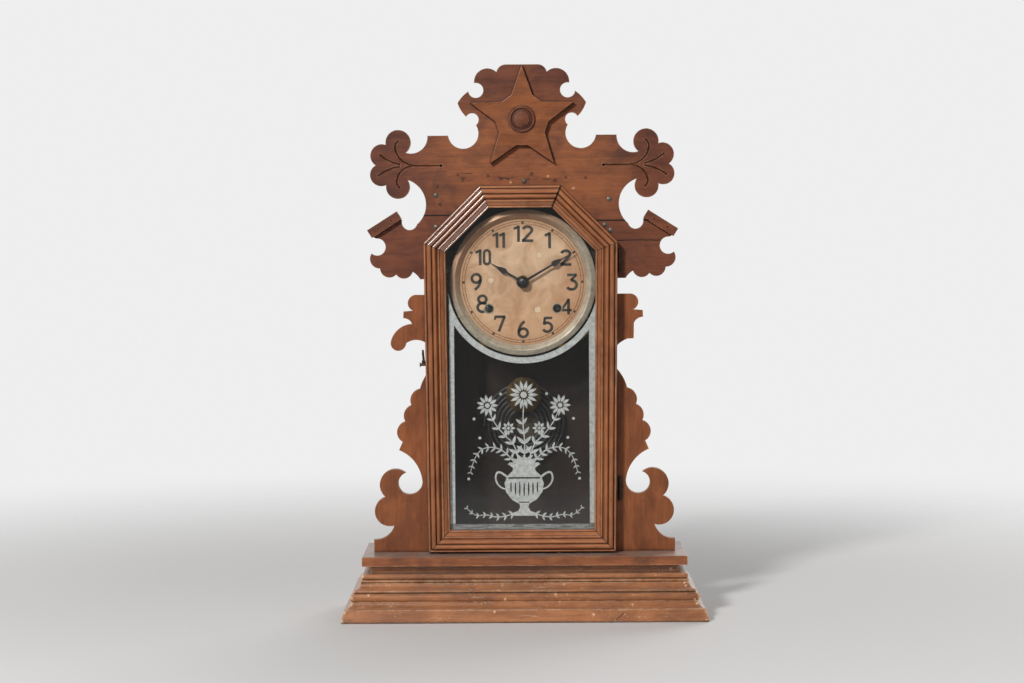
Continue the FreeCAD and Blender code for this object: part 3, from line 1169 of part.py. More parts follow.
def make_pendulum():
    spot = on_dial(VERGE)
    crutch_low = spot[1] - 34.0
    rear = PLATE_BACK_Y + 3.4
    hub = rod(3.0, ESCAPE_WHEEL_Y, ESCAPE_WHEEL_Y + WHEEL_THICKNESS, spot)
    shapes = [rod(ARBOR_RADIUS, TRAIN_FRONT_Y + SIDE_PLAY, rear, spot),
              rod(PIVOT_RADIUS, PLATE_FRONT_Y, rear, spot), hub]
    for side in (-1, 1):
        pallet = (spot[0] + side * PALLET_SPREAD * MOVEMENT_SIZE,
                  spot[1] - (VERGE_RISE - PALLET_RISE) * MOVEMENT_SIZE)
        arm = outline((spot[0], spot[1] + 1.5), [
            (pallet[0] + side * 0.6, pallet[1] + 2.0), (pallet[0] + side * 0.6, pallet[1] - 0.6),
            (pallet[0] - side * 0.6, pallet[1] - 0.6), (pallet[0] - side * 0.6, pallet[1] + 1.0),
            (spot[0], spot[1] - 1.5)])
        shapes.append(upright(arm, ESCAPE_WHEEL_Y, WHEEL_THICKNESS))
    crutch_y = rear - 0.8
    shapes.append(Part.makeCylinder(0.7, spot[1] - crutch_low, Vector(spot[0], crutch_y, crutch_low)))
    fork_half = ROD_RADIUS + 0.4
    shapes.append(block(-fork_half - 1.0, fork_half + 1.0, crutch_y - 0.7, crutch_y + 0.7,
                        crutch_low - 1.4, crutch_low))
    for side in (-1, 1):
        x0, x1 = sorted((side * fork_half, side * (fork_half + 1.0)))
        shapes.append(block(x0, x1, crutch_y - 0.7, PENDULUM_Y + 2.0, crutch_low - 1.4, crutch_low))
    save("verge", joined(*shapes))

    jaw = spot[1] + 2.0
    post = joined(block(-4.0, 4.0, PLATE_BACK_Y, PENDULUM_Y + 3.0, jaw, jaw + 4.0),
                  block(-6.0, 6.0, PLATE_BACK_Y, PLATE_BACK_Y + 1.6, jaw, jaw + 5.0))
    save("suspension_post", post)

    bob_z = spot[1] - PENDULUM_LENGTH
    strip = block(-0.15, 0.15, PENDULUM_Y - 2.0, PENDULUM_Y + 2.0, spot[1] - 12.0, jaw - SIDE_PLAY)
    clamp = block(-1.2, 1.2, PENDULUM_Y - 2.4, PENDULUM_Y + 2.4, spot[1] - 14.0, spot[1] - 10.0)
    rod_low = bob_z - BOB_RADIUS - 5.0
    wire = Part.makeCylinder(ROD_RADIUS, spot[1] - 12.0 - rod_low, Vector(0, PENDULUM_Y, rod_low))
    nut = Part.makeCylinder(2.6, 2.6, Vector(0, PENDULUM_Y, bob_z - BOB_RADIUS - 2.6 - 0.05))
    save("pendulum_rod", joined(strip, clamp, wire, nut))

    half = BOB_THICKNESS / 2
    rim = BOB_RIM / 2
    front_cap = dome(BOB_RADIUS, PENDULUM_Y - rim, half - rim)
    back_middle, back_crown = [(r, 2 * PENDULUM_Y - y) for r, y in front_cap]
    profile = outline((BOB_RADIUS, PENDULUM_Y + rim), [
        (BOB_RADIUS, PENDULUM_Y - rim), front_cap, back_crown, (back_middle, (BOB_RADIUS, PENDULUM_Y + rim))])
    bob = turned(profile, (0, bob_z))
    bore_foot = Vector(0, PENDULUM_Y, bob_z - BOB_RADIUS - 1)
    bore = Part.makeCylinder(ROD_RADIUS + RUNNING_FIT, 2 * BOB_RADIUS + 2, bore_foot)
    save("pendulum_bob", bob.cut(bore))


os.makedirs("parts", exist_ok=True)
make_base()
make_case()
make_front_boards()
make_star()
make_door()
make_hinges()
make_latch()
make_dial()
make_plates()
make_motion_work()
make_hands()
make_going_train()
make_power()
make_strike()
make_gong()
make_pendulum()
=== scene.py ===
import math
import bmesh
import bpy
from mathutils import Matrix, Vector


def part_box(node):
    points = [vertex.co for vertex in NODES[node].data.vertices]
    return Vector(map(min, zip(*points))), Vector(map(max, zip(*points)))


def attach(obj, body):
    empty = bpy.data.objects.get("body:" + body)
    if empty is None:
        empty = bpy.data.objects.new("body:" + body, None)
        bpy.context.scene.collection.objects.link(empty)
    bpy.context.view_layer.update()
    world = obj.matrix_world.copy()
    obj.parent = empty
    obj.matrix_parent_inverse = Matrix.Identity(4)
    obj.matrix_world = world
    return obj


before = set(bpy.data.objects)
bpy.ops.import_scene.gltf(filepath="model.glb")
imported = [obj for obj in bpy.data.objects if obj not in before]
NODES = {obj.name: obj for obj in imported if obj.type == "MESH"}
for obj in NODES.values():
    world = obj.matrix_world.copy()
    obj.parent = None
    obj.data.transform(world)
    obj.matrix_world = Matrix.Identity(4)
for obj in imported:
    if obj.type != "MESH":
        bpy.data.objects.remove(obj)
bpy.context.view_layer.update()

# A carved table clock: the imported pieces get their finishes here, and the dial's paper and print, the
# silver stencil on the glass and the small pins are made and set on the pieces that carry them.
# Metres; +Z is up and the clock faces -Y.
MM = 0.001

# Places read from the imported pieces
BEZEL_LOW, BEZEL_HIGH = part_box("dial_bezel")
DIAL_Z = (BEZEL_LOW.z + BEZEL_HIGH.z) / 2
EYELET_PROUD = 0.5 * MM
DIAL_FACE_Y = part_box("dial_plate")[0].y + EYELET_PROUD
GLASS_BACK_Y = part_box("door_glass")[1].y


def colour(red, green, blue):
    """A screen colour of 0 to 255 as the linear one that the shaders take."""
    linear = []
    for part in (red / 255, green / 255, blue / 255):
        linear.append(part / 12.92 if part <= 0.04045 else ((part + 0.055) / 1.055) ** 2.4)
    return (*linear, 1.0)


# Node trees

def fill(tree, node, inputs):
    """Fills a node's inputs with values or with other nodes' outputs."""
    for name, value in inputs.items():
        if isinstance(value, bpy.types.NodeSocket):
            tree.links.new(value, node.inputs[name])
        else:
            node.inputs[name].default_value = value


def put(tree, kind, inputs=None, **settings):
    """Adds a node, sets it and fills its inputs."""
    node = tree.nodes.new(kind)
    for name, value in settings.items():
        setattr(node, name, value)
    fill(tree, node, inputs or {})
    return node


def calc(tree, operation, a, b=0.0, c=0.0, clamp=False):
    """Output of a Math node."""
    return put(tree, "ShaderNodeMath", {0: a, 1: b, 2: c}, operation=operation, use_clamp=clamp).outputs[0]


def times(tree, a, b, clamp=False):
    """Output of a product."""
    return calc(tree, "MULTIPLY", a, b, clamp=clamp)


def vector_calc(tree, operation, a, b=(0, 0, 0)):
    """Output of a Vector Math node: a value for a length or a dot product, or else a vector."""
    node = put(tree, "ShaderNodeVectorMath", {0: a, 1: b}, operation=operation)
    return node.outputs["Value" if operation in ("LENGTH", "DOT_PRODUCT") else 0]


def parts_of(tree, vector):
    """The X, Y and Z outputs of a vector."""
    return put(tree, "ShaderNodeSeparateXYZ", {0: vector}).outputs


def vector_of(tree, x=0.0, y=0.0, z=0.0):
    """A vector made from its parts."""
    return put(tree, "ShaderNodeCombineXYZ", {"X": x, "Y": y, "Z": z}).outputs[0]


def normal_of(tree):
    """The surface's own normal."""
    return put(tree, "ShaderNodeNewGeometry").outputs["Normal"]


def mixed(tree, factor, a, b, mode="MIX"):
    """Output of a colour mix."""
    node = put(tree, "ShaderNodeMix", {0: factor, 6: a, 7: b}, data_type="RGBA", blend_type=mode)
    return node.outputs[2]


def eased(tree, value, low, high, start=0.0, end=1.0):
    """A value eased from start to end while it goes from low to high."""
    span = {"Value": value, "From Min": low, "From Max": high, "To Min": start, "To Max": end}
    return put(tree, "ShaderNodeMapRange", span, interpolation_type="SMOOTHSTEP").outputs[0]


def noise(tree, place, scale, detail=2.0, roughness=0.5, distortion=0.0):
    """Output of a noise texture at a place."""
    return put(tree, "ShaderNodeTexNoise", {
        "Vector": place, "Scale": scale, "Detail": detail, "Roughness": roughness,
        "Distortion": distortion}).outputs[0]


def stretched(tree, place, scale, turn=(0, 0, 0), shift=(0, 0, 0)):
    """A place stretched, turned and shifted."""
    values = {"Vector": place, "Location": shift, "Rotation": turn, "Scale": scale}
    return put(tree, "ShaderNodeMapping", values).outputs[0]


def add_inputs(tree, inputs):
    """Gives a tree its named inputs; each is a name, a kind and a first value, or None for no value."""
    for label, kind, value in inputs:
        socket = tree.interface.new_socket(label, in_out="INPUT", socket_type="NodeSocket" + kind)
        if value is not None:
            socket.default_value = value


def shader_group(name, inputs, outputs):
    """A new shader node group, with its input node's outputs and its output node."""
    tree = bpy.data.node_groups.new(name, "ShaderNodeTree")
    add_inputs(tree, inputs)
    for label, kind in outputs:
        tree.interface.new_socket(label, in_out="OUTPUT", socket_type="NodeSocket" + kind)
    return tree, tree.nodes.new("NodeGroupInput").outputs, tree.nodes.new("NodeGroupOutput")


def grouped(tree, group, inputs):
    """Outputs of a node group placed in a tree."""
    return put(tree, "ShaderNodeGroup", inputs, node_tree=group).outputs


# Shared effects

def timber_group():
    """Grain along the place's X: broad streaks, mottling and fibres, with stained clouds over them."""
    tree, given, result = shader_group("timber", [
        ("Place", "Vector", (0, 0, 0)), ("Pale", "Color", (1, 1, 1, 1)), ("Dark", "Color", (0, 0, 0, 1)),
        ("Stain", "Color", (0, 0, 0, 1)), ("Cloud", "Float", 0.6), ("Gloss", "Float", 0.42)],
        [("Color", "Color"), ("Roughness", "Float"), ("Height", "Float")])
    place = given["Place"]
    streaks = noise(tree, stretched(tree, place, (7, 46, 46)), 1.0, 4.0, 0.58, 0.9)
    lines = noise(tree, stretched(tree, place, (14, 240, 240)), 1.0, 4.0, 0.6, 0.4)
    fibres = noise(tree, stretched(tree, place, (45, 1100, 1100)), 1.0, 2.0, 0.6)
    mottle = noise(tree, stretched(tree, place, (30, 52, 52)), 1.0, 5.0, 0.66, 0.9)
    grain = times(tree, streaks, 0.3)
    for layer, share in ((lines, 0.22), (fibres, 0.16), (mottle, 0.32)):
        grain = calc(tree, "ADD", grain, times(tree, layer, share))
    body = mixed(tree, eased(tree, grain, 0.38, 0.62), given["Dark"], given["Pale"])
    clouds = noise(tree, stretched(tree, place, (15, 21, 21)), 1.0, 5.0, 0.64, 0.7)
    clouds = times(tree, eased(tree, clouds, 0.45, 0.7), given["Cloud"])
    body = mixed(tree, clouds, body, given["Stain"])
    pores = eased(tree, noise(tree, stretched(tree, place, (80, 1500, 1500)), 1.0, 1.0), 0.6, 0.74)
    body = mixed(tree, times(tree, pores, 0.3), body, given["Stain"])
    dull = calc(tree, "MULTIPLY_ADD", mottle, 0.3, calc(tree, "SUBTRACT", given["Gloss"], 0.08))
    relief = calc(tree, "ADD", times(tree, fibres, 0.4), times(tree, mottle, 0.5))
    relief = calc(tree, "SUBTRACT", relief, times(tree, pores, 0.35))
    fill(tree, result, {"Color": body, "Roughness": dull, "Height": relief})
    return tree


def wear_dirt_and_shade_group():
    """Where edges are rubbed bare, and where corners and creases darken with dirt and painted shade."""
    tree, given, result = shader_group("wear_dirt_and_shade", [
        ("Place", "Vector", (0, 0, 0)), ("Edge Reach", "Float", 1.2 * MM),
        ("Corner Reach", "Float", 5 * MM)], [("Rubbed", "Float"), ("Dirt And Shade", "Float")])
    rounded = put(tree, "ShaderNodeBevel", {"Radius": given["Edge Reach"]}, samples=4).outputs[0]
    edge = eased(tree, vector_calc(tree, "DOT_PRODUCT", rounded, normal_of(tree)), 0.99, 0.84)
    shade = put(tree, "ShaderNodeAmbientOcclusion", {"Distance": given["Corner Reach"]}, samples=6)
    openness = shade.outputs["AO"]
    patchy = eased(tree, noise(tree, given["Place"], 120.0, 4.0, 0.65), 0.36, 0.62)
    outer = times(tree, edge, eased(tree, openness, 0.5, 0.8))
    smears = calc(tree, "MULTIPLY_ADD", noise(tree, given["Place"], 60.0, 3.0), 0.5, 0.7)
    # Darker where the surface is hemmed in: settled dirt, and painted shade in corners and creases
    corner = eased(tree, openness, 0.92, 0.5)
    fill(tree, result, {
        "Rubbed": times(tree, outer, patchy), "Dirt And Shade": times(tree, corner, smears, clamp=True)})
    return tree


def dust_group():
    """Dust on what faces up."""
    tree, given, result = shader_group("dust", [("Place", "Vector", (0, 0, 0)), ("Amount", "Float", 0.5)],
                                       [("Dust", "Float")])
    up = eased(tree, parts_of(tree, normal_of(tree))["Z"], 0.75, 0.98)
    patches = eased(tree, noise(tree, given["Place"], 45.0, 5.0, 0.7), 0.25, 0.7, 0.35, 1.0)
    fill(tree, result, {"Dust": times(tree, times(tree, up, patches), given["Amount"])})
    return tree


def spot_group():
    """A round mark on the front, ragged at its edge."""
    tree, given, result = shader_group("spot", [
        ("Place", "Vector", (0, 0, 0)), ("Centre", "Vector", (0, 0, 0)), ("Radius", "Float", 2 * MM),
        ("Ragged", "Float", 1.6 * MM)], [("Mask", "Float")])
    away = vector_calc(tree, "SUBTRACT", given["Place"], given["Centre"])
    gap = vector_calc(tree, "LENGTH", vector_calc(tree, "MULTIPLY", away, (1, 0, 1)))
    uneven = calc(tree, "SUBTRACT", noise(tree, given["Place"], 420.0, 3.0), 0.5)
    wobble = times(tree, uneven, given["Ragged"])
    gap = calc(tree, "SUBTRACT", calc(tree, "ADD", gap, wobble), given["Radius"])
    front = eased(tree, parts_of(tree, normal_of(tree))["Y"], 0.2, -0.2)
    fill(tree, result, {"Mask": times(tree, eased(tree, gap, 0.4 * MM, -0.2 * MM), front)})
    return tree


def seam_group():
    """A thin line where a plane through a point cuts the surface, near that point only."""
    tree, given, result = shader_group("seam", [
        ("Place", "Vector", (0, 0, 0)), ("Point", "Vector", (0, 0, 0)), ("Across", "Vector", (0, 0, 1)),
        ("Width", "Float", 0.4 * MM), ("Reach", "Float", 40 * MM), ("Waver", "Float", 0.0)],
        [("Mask", "Float")])
    away = vector_calc(tree, "SUBTRACT", given["Place"], given["Point"])
    off = vector_calc(tree, "DOT_PRODUCT", away, given["Across"])
    waver = calc(tree, "SUBTRACT", noise(tree, given["Place"], 55.0, 3.0), 0.5)
    off = calc(tree, "ABSOLUTE", calc(tree, "ADD", off, times(tree, waver, given["Waver"])))
    line = eased(tree, calc(tree, "SUBTRACT", off, given["Width"]), 0.15 * MM, -0.15 * MM)
    past = calc(tree, "SUBTRACT", vector_calc(tree, "LENGTH", away), given["Reach"])
    fill(tree, result, {"Mask": times(tree, line, eased(tree, past, 1 * MM, -1 * MM))})
    return tree


def scuff_group():
    """Small knocks and longer rubs along X, in patches."""
    tree, given, result = shader_group("scuff", [("Place", "Vector", (0, 0, 0)), ("Amount", "Float", 0.5)],
                                       [("Mask", "Float")])
    place = given["Place"]
    knocks = eased(tree, noise(tree, place, 330.0, 3.0, 0.6), 0.63, 0.7)
    rubs = eased(tree, noise(tree, stretched(tree, place, (40, 300, 300)), 1.0, 4.0, 0.7), 0.58, 0.72)
    patches = eased(tree, noise(tree, place, 28.0, 3.0), 0.42, 0.66)
    both = calc(tree, "ADD", knocks, times(tree, rubs, 0.6), clamp=True)
    fill(tree, result, {"Mask": times(tree, times(tree, both, patches), given["Amount"])})
    return tree


def patina_group():
    """Blotches and fine scratches on old metal."""
    tree, given, result = shader_group("patina", [
        ("Place", "Vector", (0, 0, 0)), ("Bright", "Color", (1, 1, 1, 1)), ("Dull", "Color", (0, 0, 0, 1)),
        ("Cover", "Float", 0.5), ("Smooth", "Float", 0.3)],
        [("Color", "Color"), ("Roughness", "Float"), ("Height", "Float")])
    place = given["Place"]
    blotches = noise(tree, place, 70.0, 6.0, 0.66, 0.5)
    specks = eased(tree, noise(tree, place, 420.0, 3.0, 0.6), 0.5, 0.72)
    scratches = noise(tree, stretched(tree, place, (60, 60, 1800), (0.3, 0.5, 0.2)), 1.0, 2.0)
    cover = calc(tree, "ADD", eased(tree, blotches, 0.3, 0.7), times(tree, specks, 0.35))
    cover = times(tree, cover, given["Cover"], clamp=True)
    dull = calc(tree, "MULTIPLY_ADD", cover, 0.3, given["Smooth"])
    fill(tree, result, {
        "Color": mixed(tree, cover, given["Bright"], given["Dull"]),
        "Roughness": calc(tree, "ADD", dull, times(tree, scratches, 0.08)),
        "Height": calc(tree, "ADD", specks, times(tree, scratches, 0.4))})
    return tree


TIMBER = timber_group()
WEAR_DIRT_AND_SHADE = wear_dirt_and_shade_group()
DUST = dust_group()
SPOT = spot_group()
SEAM = seam_group()
SCUFF = scuff_group()
PATINA = patina_group()


# Finishes

def new_finish(name):
    """A material, its tree, its surface shader and the place on the piece."""
    material = bpy.data.materials.new(name)
    material.use_nodes = True
    tree = material.node_tree
    surface = tree.nodes["Principled BSDF"]
    place = put(tree, "ShaderNodeTexCoord").outputs["Object"]
    return material, tree, surface, place


def bumped(tree, surface, height, strength, depth):
    """Feeds a height into the surface's normal."""
    bump = put(tree, "ShaderNodeBump", {"Height": height, "Strength": strength, "Distance": depth})
    tree.links.new(bump.outputs[0], surface.inputs["Normal"])


ALONG_X = (0, 0, 0)
ALONG_Y = (0, 0, -math.pi / 2)
ALONG_Z = (0, math.pi / 2, 0)
RISING = (0, math.pi / 4, 0)
FALLING = (0, -math.pi / 4, 0)

# Colour of the dirt and painted shade in corners and creases
SOOT_AND_CORNER_SHADE = colour(24, 14, 9)
CRACK_BLACK = colour(20, 11, 8)
WOOD_DUST = colour(158, 148, 140)
FADED_TINT = colour(192, 184, 206)
# Tint of the painted shade inside the case
INSIDE_SHADE_TINT = colour(120, 128, 160)
WOOD_RELIEF = 0.2
WOOD_DEPTH = 0.2 * MM
MARK_RAGGED = 5 * MM


def wood_finish(name, grain, pale, dark, stain, bare, cloud=0.6, gloss=0.42, wear=0.8, dirt_and_shade=0.75, dust=0.3,
                lacquer=0.15, shine=1.5, scuffs=0.0, corner=4.0, edge=1.4, faded=None, inside_shade=None,
                spots=(), seams=()):
    """Old stained wood: grain, rubbed edges, dirt and painted shade in corners, dust on top, and its own
    marks and seams.

    Faded is a point and the two distances from it between which the colour turns cooler and darker.
    Painted shade inside the case is set by an axis and the distance from the middle along it within which the
    wood is darkened.
    """
    material, tree, surface, place = new_finish(name)
    timber = grouped(tree, TIMBER, {
        "Place": stretched(tree, place, (1, 1, 1), grain), "Pale": pale, "Dark": dark, "Stain": stain,
        "Cloud": cloud, "Gloss": gloss})
    wear_dirt_and_shade = grouped(tree, WEAR_DIRT_AND_SHADE, {
        "Place": place, "Edge Reach": edge * MM, "Corner Reach": corner * MM})
    top = timber["Color"]
    if faded:
        x, z, near, far = faded
        spread = stretched(tree, place, (1, 0, 1.4), shift=(-x * MM, 0, -1.4 * z * MM))
        gap = vector_calc(tree, "LENGTH", spread)
        top = mixed(tree, eased(tree, gap, near * MM, far * MM), top, FADED_TINT, "MULTIPLY")
    # Painted shade: the wood darkens inside the case, within this distance of the middle
    if inside_shade:
        axis, limit = inside_shade
        depth = calc(tree, "ABSOLUTE", parts_of(tree, place)[axis])
        top = mixed(tree, calc(tree, "LESS_THAN", depth, limit * MM), top, INSIDE_SHADE_TINT, "MULTIPLY")
    if scuffs:
        rubs = grouped(tree, SCUFF, {"Place": place, "Amount": scuffs})["Mask"]
        top = mixed(tree, rubs, top, bare)
    for centre, radius, shade, share in spots:
        mask = grouped(tree, SPOT, {
            "Place": place, "Centre": centre, "Radius": radius, "Ragged": MARK_RAGGED})["Mask"]
        top = mixed(tree, times(tree, mask, share), top, shade)
    top = mixed(tree, times(tree, wear_dirt_and_shade["Rubbed"], wear), top, bare)
    # Dirt and painted shade in corners and creases
    top = mixed(tree, times(tree, wear_dirt_and_shade["Dirt And Shade"], dirt_and_shade), top, SOOT_AND_CORNER_SHADE)
    for point, across, width, reach, waver in seams:
        mask = grouped(tree, SEAM, {"Place": place, "Point": point, "Across": across, "Width": width,
                                    "Reach": reach, "Waver": waver})["Mask"]
        top = mixed(tree, mask, top, CRACK_BLACK)
    dusty = grouped(tree, DUST, {"Place": place, "Amount": dust})["Dust"]
    fill(tree, surface, {
        "Base Color": mixed(tree, dusty, top, WOOD_DUST),
        "Roughness": calc(tree, "ADD", timber["Roughness"], times(tree, dusty, 0.3)),
        "Specular IOR Level": 0.3, "Coat Weight": lacquer, "Coat Roughness": 0.24, "Coat IOR": shine})
    bumped(tree, surface, timber["Height"], WOOD_RELIEF, WOOD_DEPTH)
    return material


METAL_RELIEF = 0.25
METAL_DEPTH = 0.08 * MM
METAL_DIRT_AND_SHADE = colour(22, 16, 11)
BLACKED_TIP = colour(40, 38, 37)
# Heights over which the painted door shadow on the dial's ring comes in
DOOR_SHADOW_RISE = (-15 * MM, 65 * MM)
ZINC = colour(170, 166, 156)
DULL_ZINC = colour(112, 102, 90)
SHEET_BLACK = colour(30, 27, 25)
SHEET_BLACK_FROM = (73 * MM, 75 * MM)


def metal_finish(name, bright, dull, cover=0.5, smooth=0.3, metallic=1.0, door_shadow=None, tip=None):
    """Old metal with blotches, specks and scratches, and dirt and painted shade where parts meet.

    The door's shadow is painted as a brown tint on the top and left of the dial's ring; tip blackens what
    lies in front of that y.
    """
    material, tree, surface, place = new_finish(name)
    patina = grouped(tree, PATINA, {"Place": place, "Bright": bright, "Dull": dull, "Cover": cover,
                                    "Smooth": smooth})
    wear_dirt_and_shade = grouped(tree, WEAR_DIRT_AND_SHADE, {"Place": place, "Edge Reach": 0.4 * MM, "Corner Reach": 2 * MM})
    # Dirt and painted shade where parts meet
    top = mixed(tree, times(tree, wear_dirt_and_shade["Dirt And Shade"], 0.7), patina["Color"], METAL_DIRT_AND_SHADE)
    top = mixed(tree, times(tree, wear_dirt_and_shade["Rubbed"], 0.6), top, bright)
    parts = parts_of(tree, place)
    # Painted shadow of the door, as a brown tint over the top and left of the dial's ring
    if door_shadow:
        high = calc(tree, "SUBTRACT", parts["Z"], DIAL_Z)
        high = calc(tree, "SUBTRACT", high, times(tree, parts["X"], 0.6))
        top = mixed(tree, times(tree, eased(tree, high, *DOOR_SHADOW_RISE), 0.85), top, door_shadow)
    if tip is not None:
        top = mixed(tree, calc(tree, "LESS_THAN", parts["Y"], tip * MM), top, BLACKED_TIP)
    fill(tree, surface, {"Base Color": top, "Roughness": patina["Roughness"], "Metallic": metallic})
    bumped(tree, surface, patina["Height"], METAL_RELIEF, METAL_DEPTH)
    return material


def dial_sheet_finish():
    """The sheet under the paper: old zinc, blackened outside the bezel."""
    material, tree, surface, place = new_finish("dial_sheet")
    patina = grouped(tree, PATINA, {
        "Place": place, "Bright": ZINC, "Dull": DULL_ZINC, "Cover": 0.6, "Smooth": 0.4})
    gap = vector_calc(tree, "LENGTH", stretched(tree, place, (1, 0, 1), shift=(0, 0, -DIAL_Z)))
    outside = times(tree, eased(tree, gap, *SHEET_BLACK_FROM), 0.9)
    top = mixed(tree, outside, patina["Color"], SHEET_BLACK)
    fill(tree, surface, {"Base Color": top, "Roughness": patina["Roughness"], "Metallic": 0.8})
    bumped(tree, surface, patina["Height"], METAL_RELIEF, METAL_DEPTH)
    return material


def glass_finish():
    """Old window glass with a slight waver; lamps shine through it."""
    material, tree, surface, place = new_finish("old_glass")
    fill(tree, surface, {"Base Color": (0.96, 0.97, 0.95, 1), "Roughness": 0.01, "IOR": 1.5,
                         "Transmission Weight": 1.0})
    bumped(tree, surface, noise(tree, place, 9.0, 2.0), 0.12, 0.4 * MM)
    clear = put(tree, "ShaderNodeBsdfTransparent", {"Color": (0.93, 0.94, 0.92, 1)})
    rays = put(tree, "ShaderNodeLightPath").outputs
    passing = calc(tree, "ADD", rays["Is Shadow Ray"], rays["Is Diffuse Ray"], clamp=True)
    both = put(tree, "ShaderNodeMixShader", {0: passing, 1: surface.outputs[0], 2: clear.outputs[0]})
    tree.links.new(both.outputs[0], tree.nodes["Material Output"].inputs["Surface"])
    return material


PAPER_PALE, PAPER_DARK = colour(238, 200, 168), colour(190, 142, 108)
PAPER_WARM = colour(201, 147, 106)
PAPER_RIM = colour(178, 132, 92)
PAPER_HANDLED = colour(196, 150, 116)
PAPER_CREASE = colour(150, 104, 70)
PAPER_SPECK = colour(140, 98, 66)
# Each pale spot has a dark rim of painted shade at its edge: share of the spot's radius, share of cover and
# colour
SPOT_RINGS_WITH_SHADE = [(1.0, 0.6, colour(178, 130, 96)), (0.86, 0.85, colour(238, 212, 182))]
# Pale spots on the paper, as (x, z, radius), and its creases, as (x, z, direction across, reach)
PAPER_SPOTS = [(17.3, 28.0, 3.6), (-33.6, 2.0, 3.2), (15.3, -28.9, 3.8)]
PAPER_CREASES = [(-42, 14, (0.06, 0, 1), 17), (20, -3, (-0.02, 0, 1), 24), (29, -24, (0.9, 0, 0.4), 14)]


def paper_finish():
    """The dial's paper: warm tan, blotched, browned towards the rim, with pale spots in rims of painted
    shade, and fine creases.
    """
    material, tree, surface, place = new_finish("dial_paper")
    centred = stretched(tree, place, (1, 1, 1), shift=(0, 0, -DIAL_Z))
    gap = vector_calc(tree, "LENGTH", centred)
    cloudy = noise(tree, centred, 34.0, 6.0, 0.64, 0.8)
    top = mixed(tree, eased(tree, cloudy, 0.3, 0.72), PAPER_PALE, PAPER_DARK)
    parts = parts_of(tree, centred)
    lower = calc(tree, "SUBTRACT", times(tree, parts["X"], 0.5), parts["Z"])
    warm = times(tree, eased(tree, lower, -20 * MM, 60 * MM), 0.55)
    top = mixed(tree, warm, top, PAPER_WARM)
    rim = times(tree, eased(tree, gap, 50 * MM, 66 * MM), 0.55)
    top = mixed(tree, rim, top, PAPER_RIM)
    handled = times(tree, eased(tree, gap, 26 * MM, 6 * MM), eased(tree, cloudy, 0.35, 0.7, 0.2, 0.6))
    top = mixed(tree, handled, top, PAPER_HANDLED)
    for x, z, radius in PAPER_SPOTS:
        # A rim of painted shade round each spot, then its pale middle
        for size, share, shade in SPOT_RINGS_WITH_SHADE:
            mask = grouped(tree, SPOT, {
                "Place": centred, "Centre": (x * MM, 0, z * MM), "Radius": size * radius * MM})["Mask"]
            top = mixed(tree, times(tree, mask, share), top, shade)
    for x, z, across, reach in PAPER_CREASES:
        mask = grouped(tree, SEAM, {
            "Place": centred, "Point": (x * MM, 0, z * MM), "Across": across, "Width": 0.12 * MM,
            "Reach": reach * MM, "Waver": 5 * MM})["Mask"]
        top = mixed(tree, times(tree, mask, 0.35), top, PAPER_CREASE)
    specks = eased(tree, noise(tree, centred, 900.0, 2.0), 0.68, 0.78)
    top = mixed(tree, times(tree, specks, 0.3), top, PAPER_SPECK)
    fill(tree, surface, {"Base Color": top, "Roughness": 0.75})
    bumped(tree, surface, noise(tree, centred, 1300.0, 3.0, 0.7), 0.25, 0.06 * MM)
    return material


def ink_finish(name, full, worn, wear):
    """Printing ink that has thinned in patches."""
    material, tree, surface, place = new_finish(name)
    thin = times(tree, eased(tree, noise(tree, place, 160.0, 4.0, 0.7), 0.4, 0.75), wear)
    fill(tree, surface, {"Base Color": mixed(tree, thin, full, worn),
                         "Roughness": eased(tree, noise(tree, place, 500.0), 0.3, 0.7, 0.5, 0.75)})
    return material


SILVER_GREY, SILVER_PALE = colour(166, 167, 169), colour(212, 213, 214)
SILVER_FLECK = colour(46, 44, 43)
SILVER_WORN = colour(68, 67, 67)
WORN_FOOT = (97 * MM, 95.2 * MM)


def stencil_finish():
    """Silver paint on the back of the glass, mottled, with worn dark flecks and a worn foot."""
    material, tree, surface, place = new_finish("stencil_silver")
    mottle = noise(tree, place, 240.0, 5.0, 0.7)
    top = mixed(tree, eased(tree, mottle, 0.3, 0.7), SILVER_GREY, SILVER_PALE)
    flecks = eased(tree, noise(tree, place, 560.0, 4.0, 0.7), 0.61, 0.68)
    worn = times(tree, flecks, eased(tree, noise(tree, place, 38.0, 3.0), 0.4, 0.68))
    top = mixed(tree, worn, top, SILVER_FLECK)
    streaks = eased(tree, noise(tree, stretched(tree, place, (60, 1, 700)), 1.0, 3.0, 0.7), 0.45, 0.62)
    height = parts_of(tree, place)["Z"]
    dulled = calc(tree, "MULTIPLY_ADD", streaks, 0.4, 0.56)
    low = times(tree, eased(tree, height, *WORN_FOOT), dulled)
    top = mixed(tree, low, top, SILVER_WORN)
    fill(tree, surface, {"Base Color": top, "Roughness": eased(tree, mottle, 0.2, 0.8, 0.45, 0.7)})
    bumped(tree, surface, mottle, 0.2, 0.05 * MM)
    return material


def palette(*shades):
    """A wood's colours: pale grain, dark grain, stain and bare edges."""
    return tuple(colour(*shade) for shade in shades)


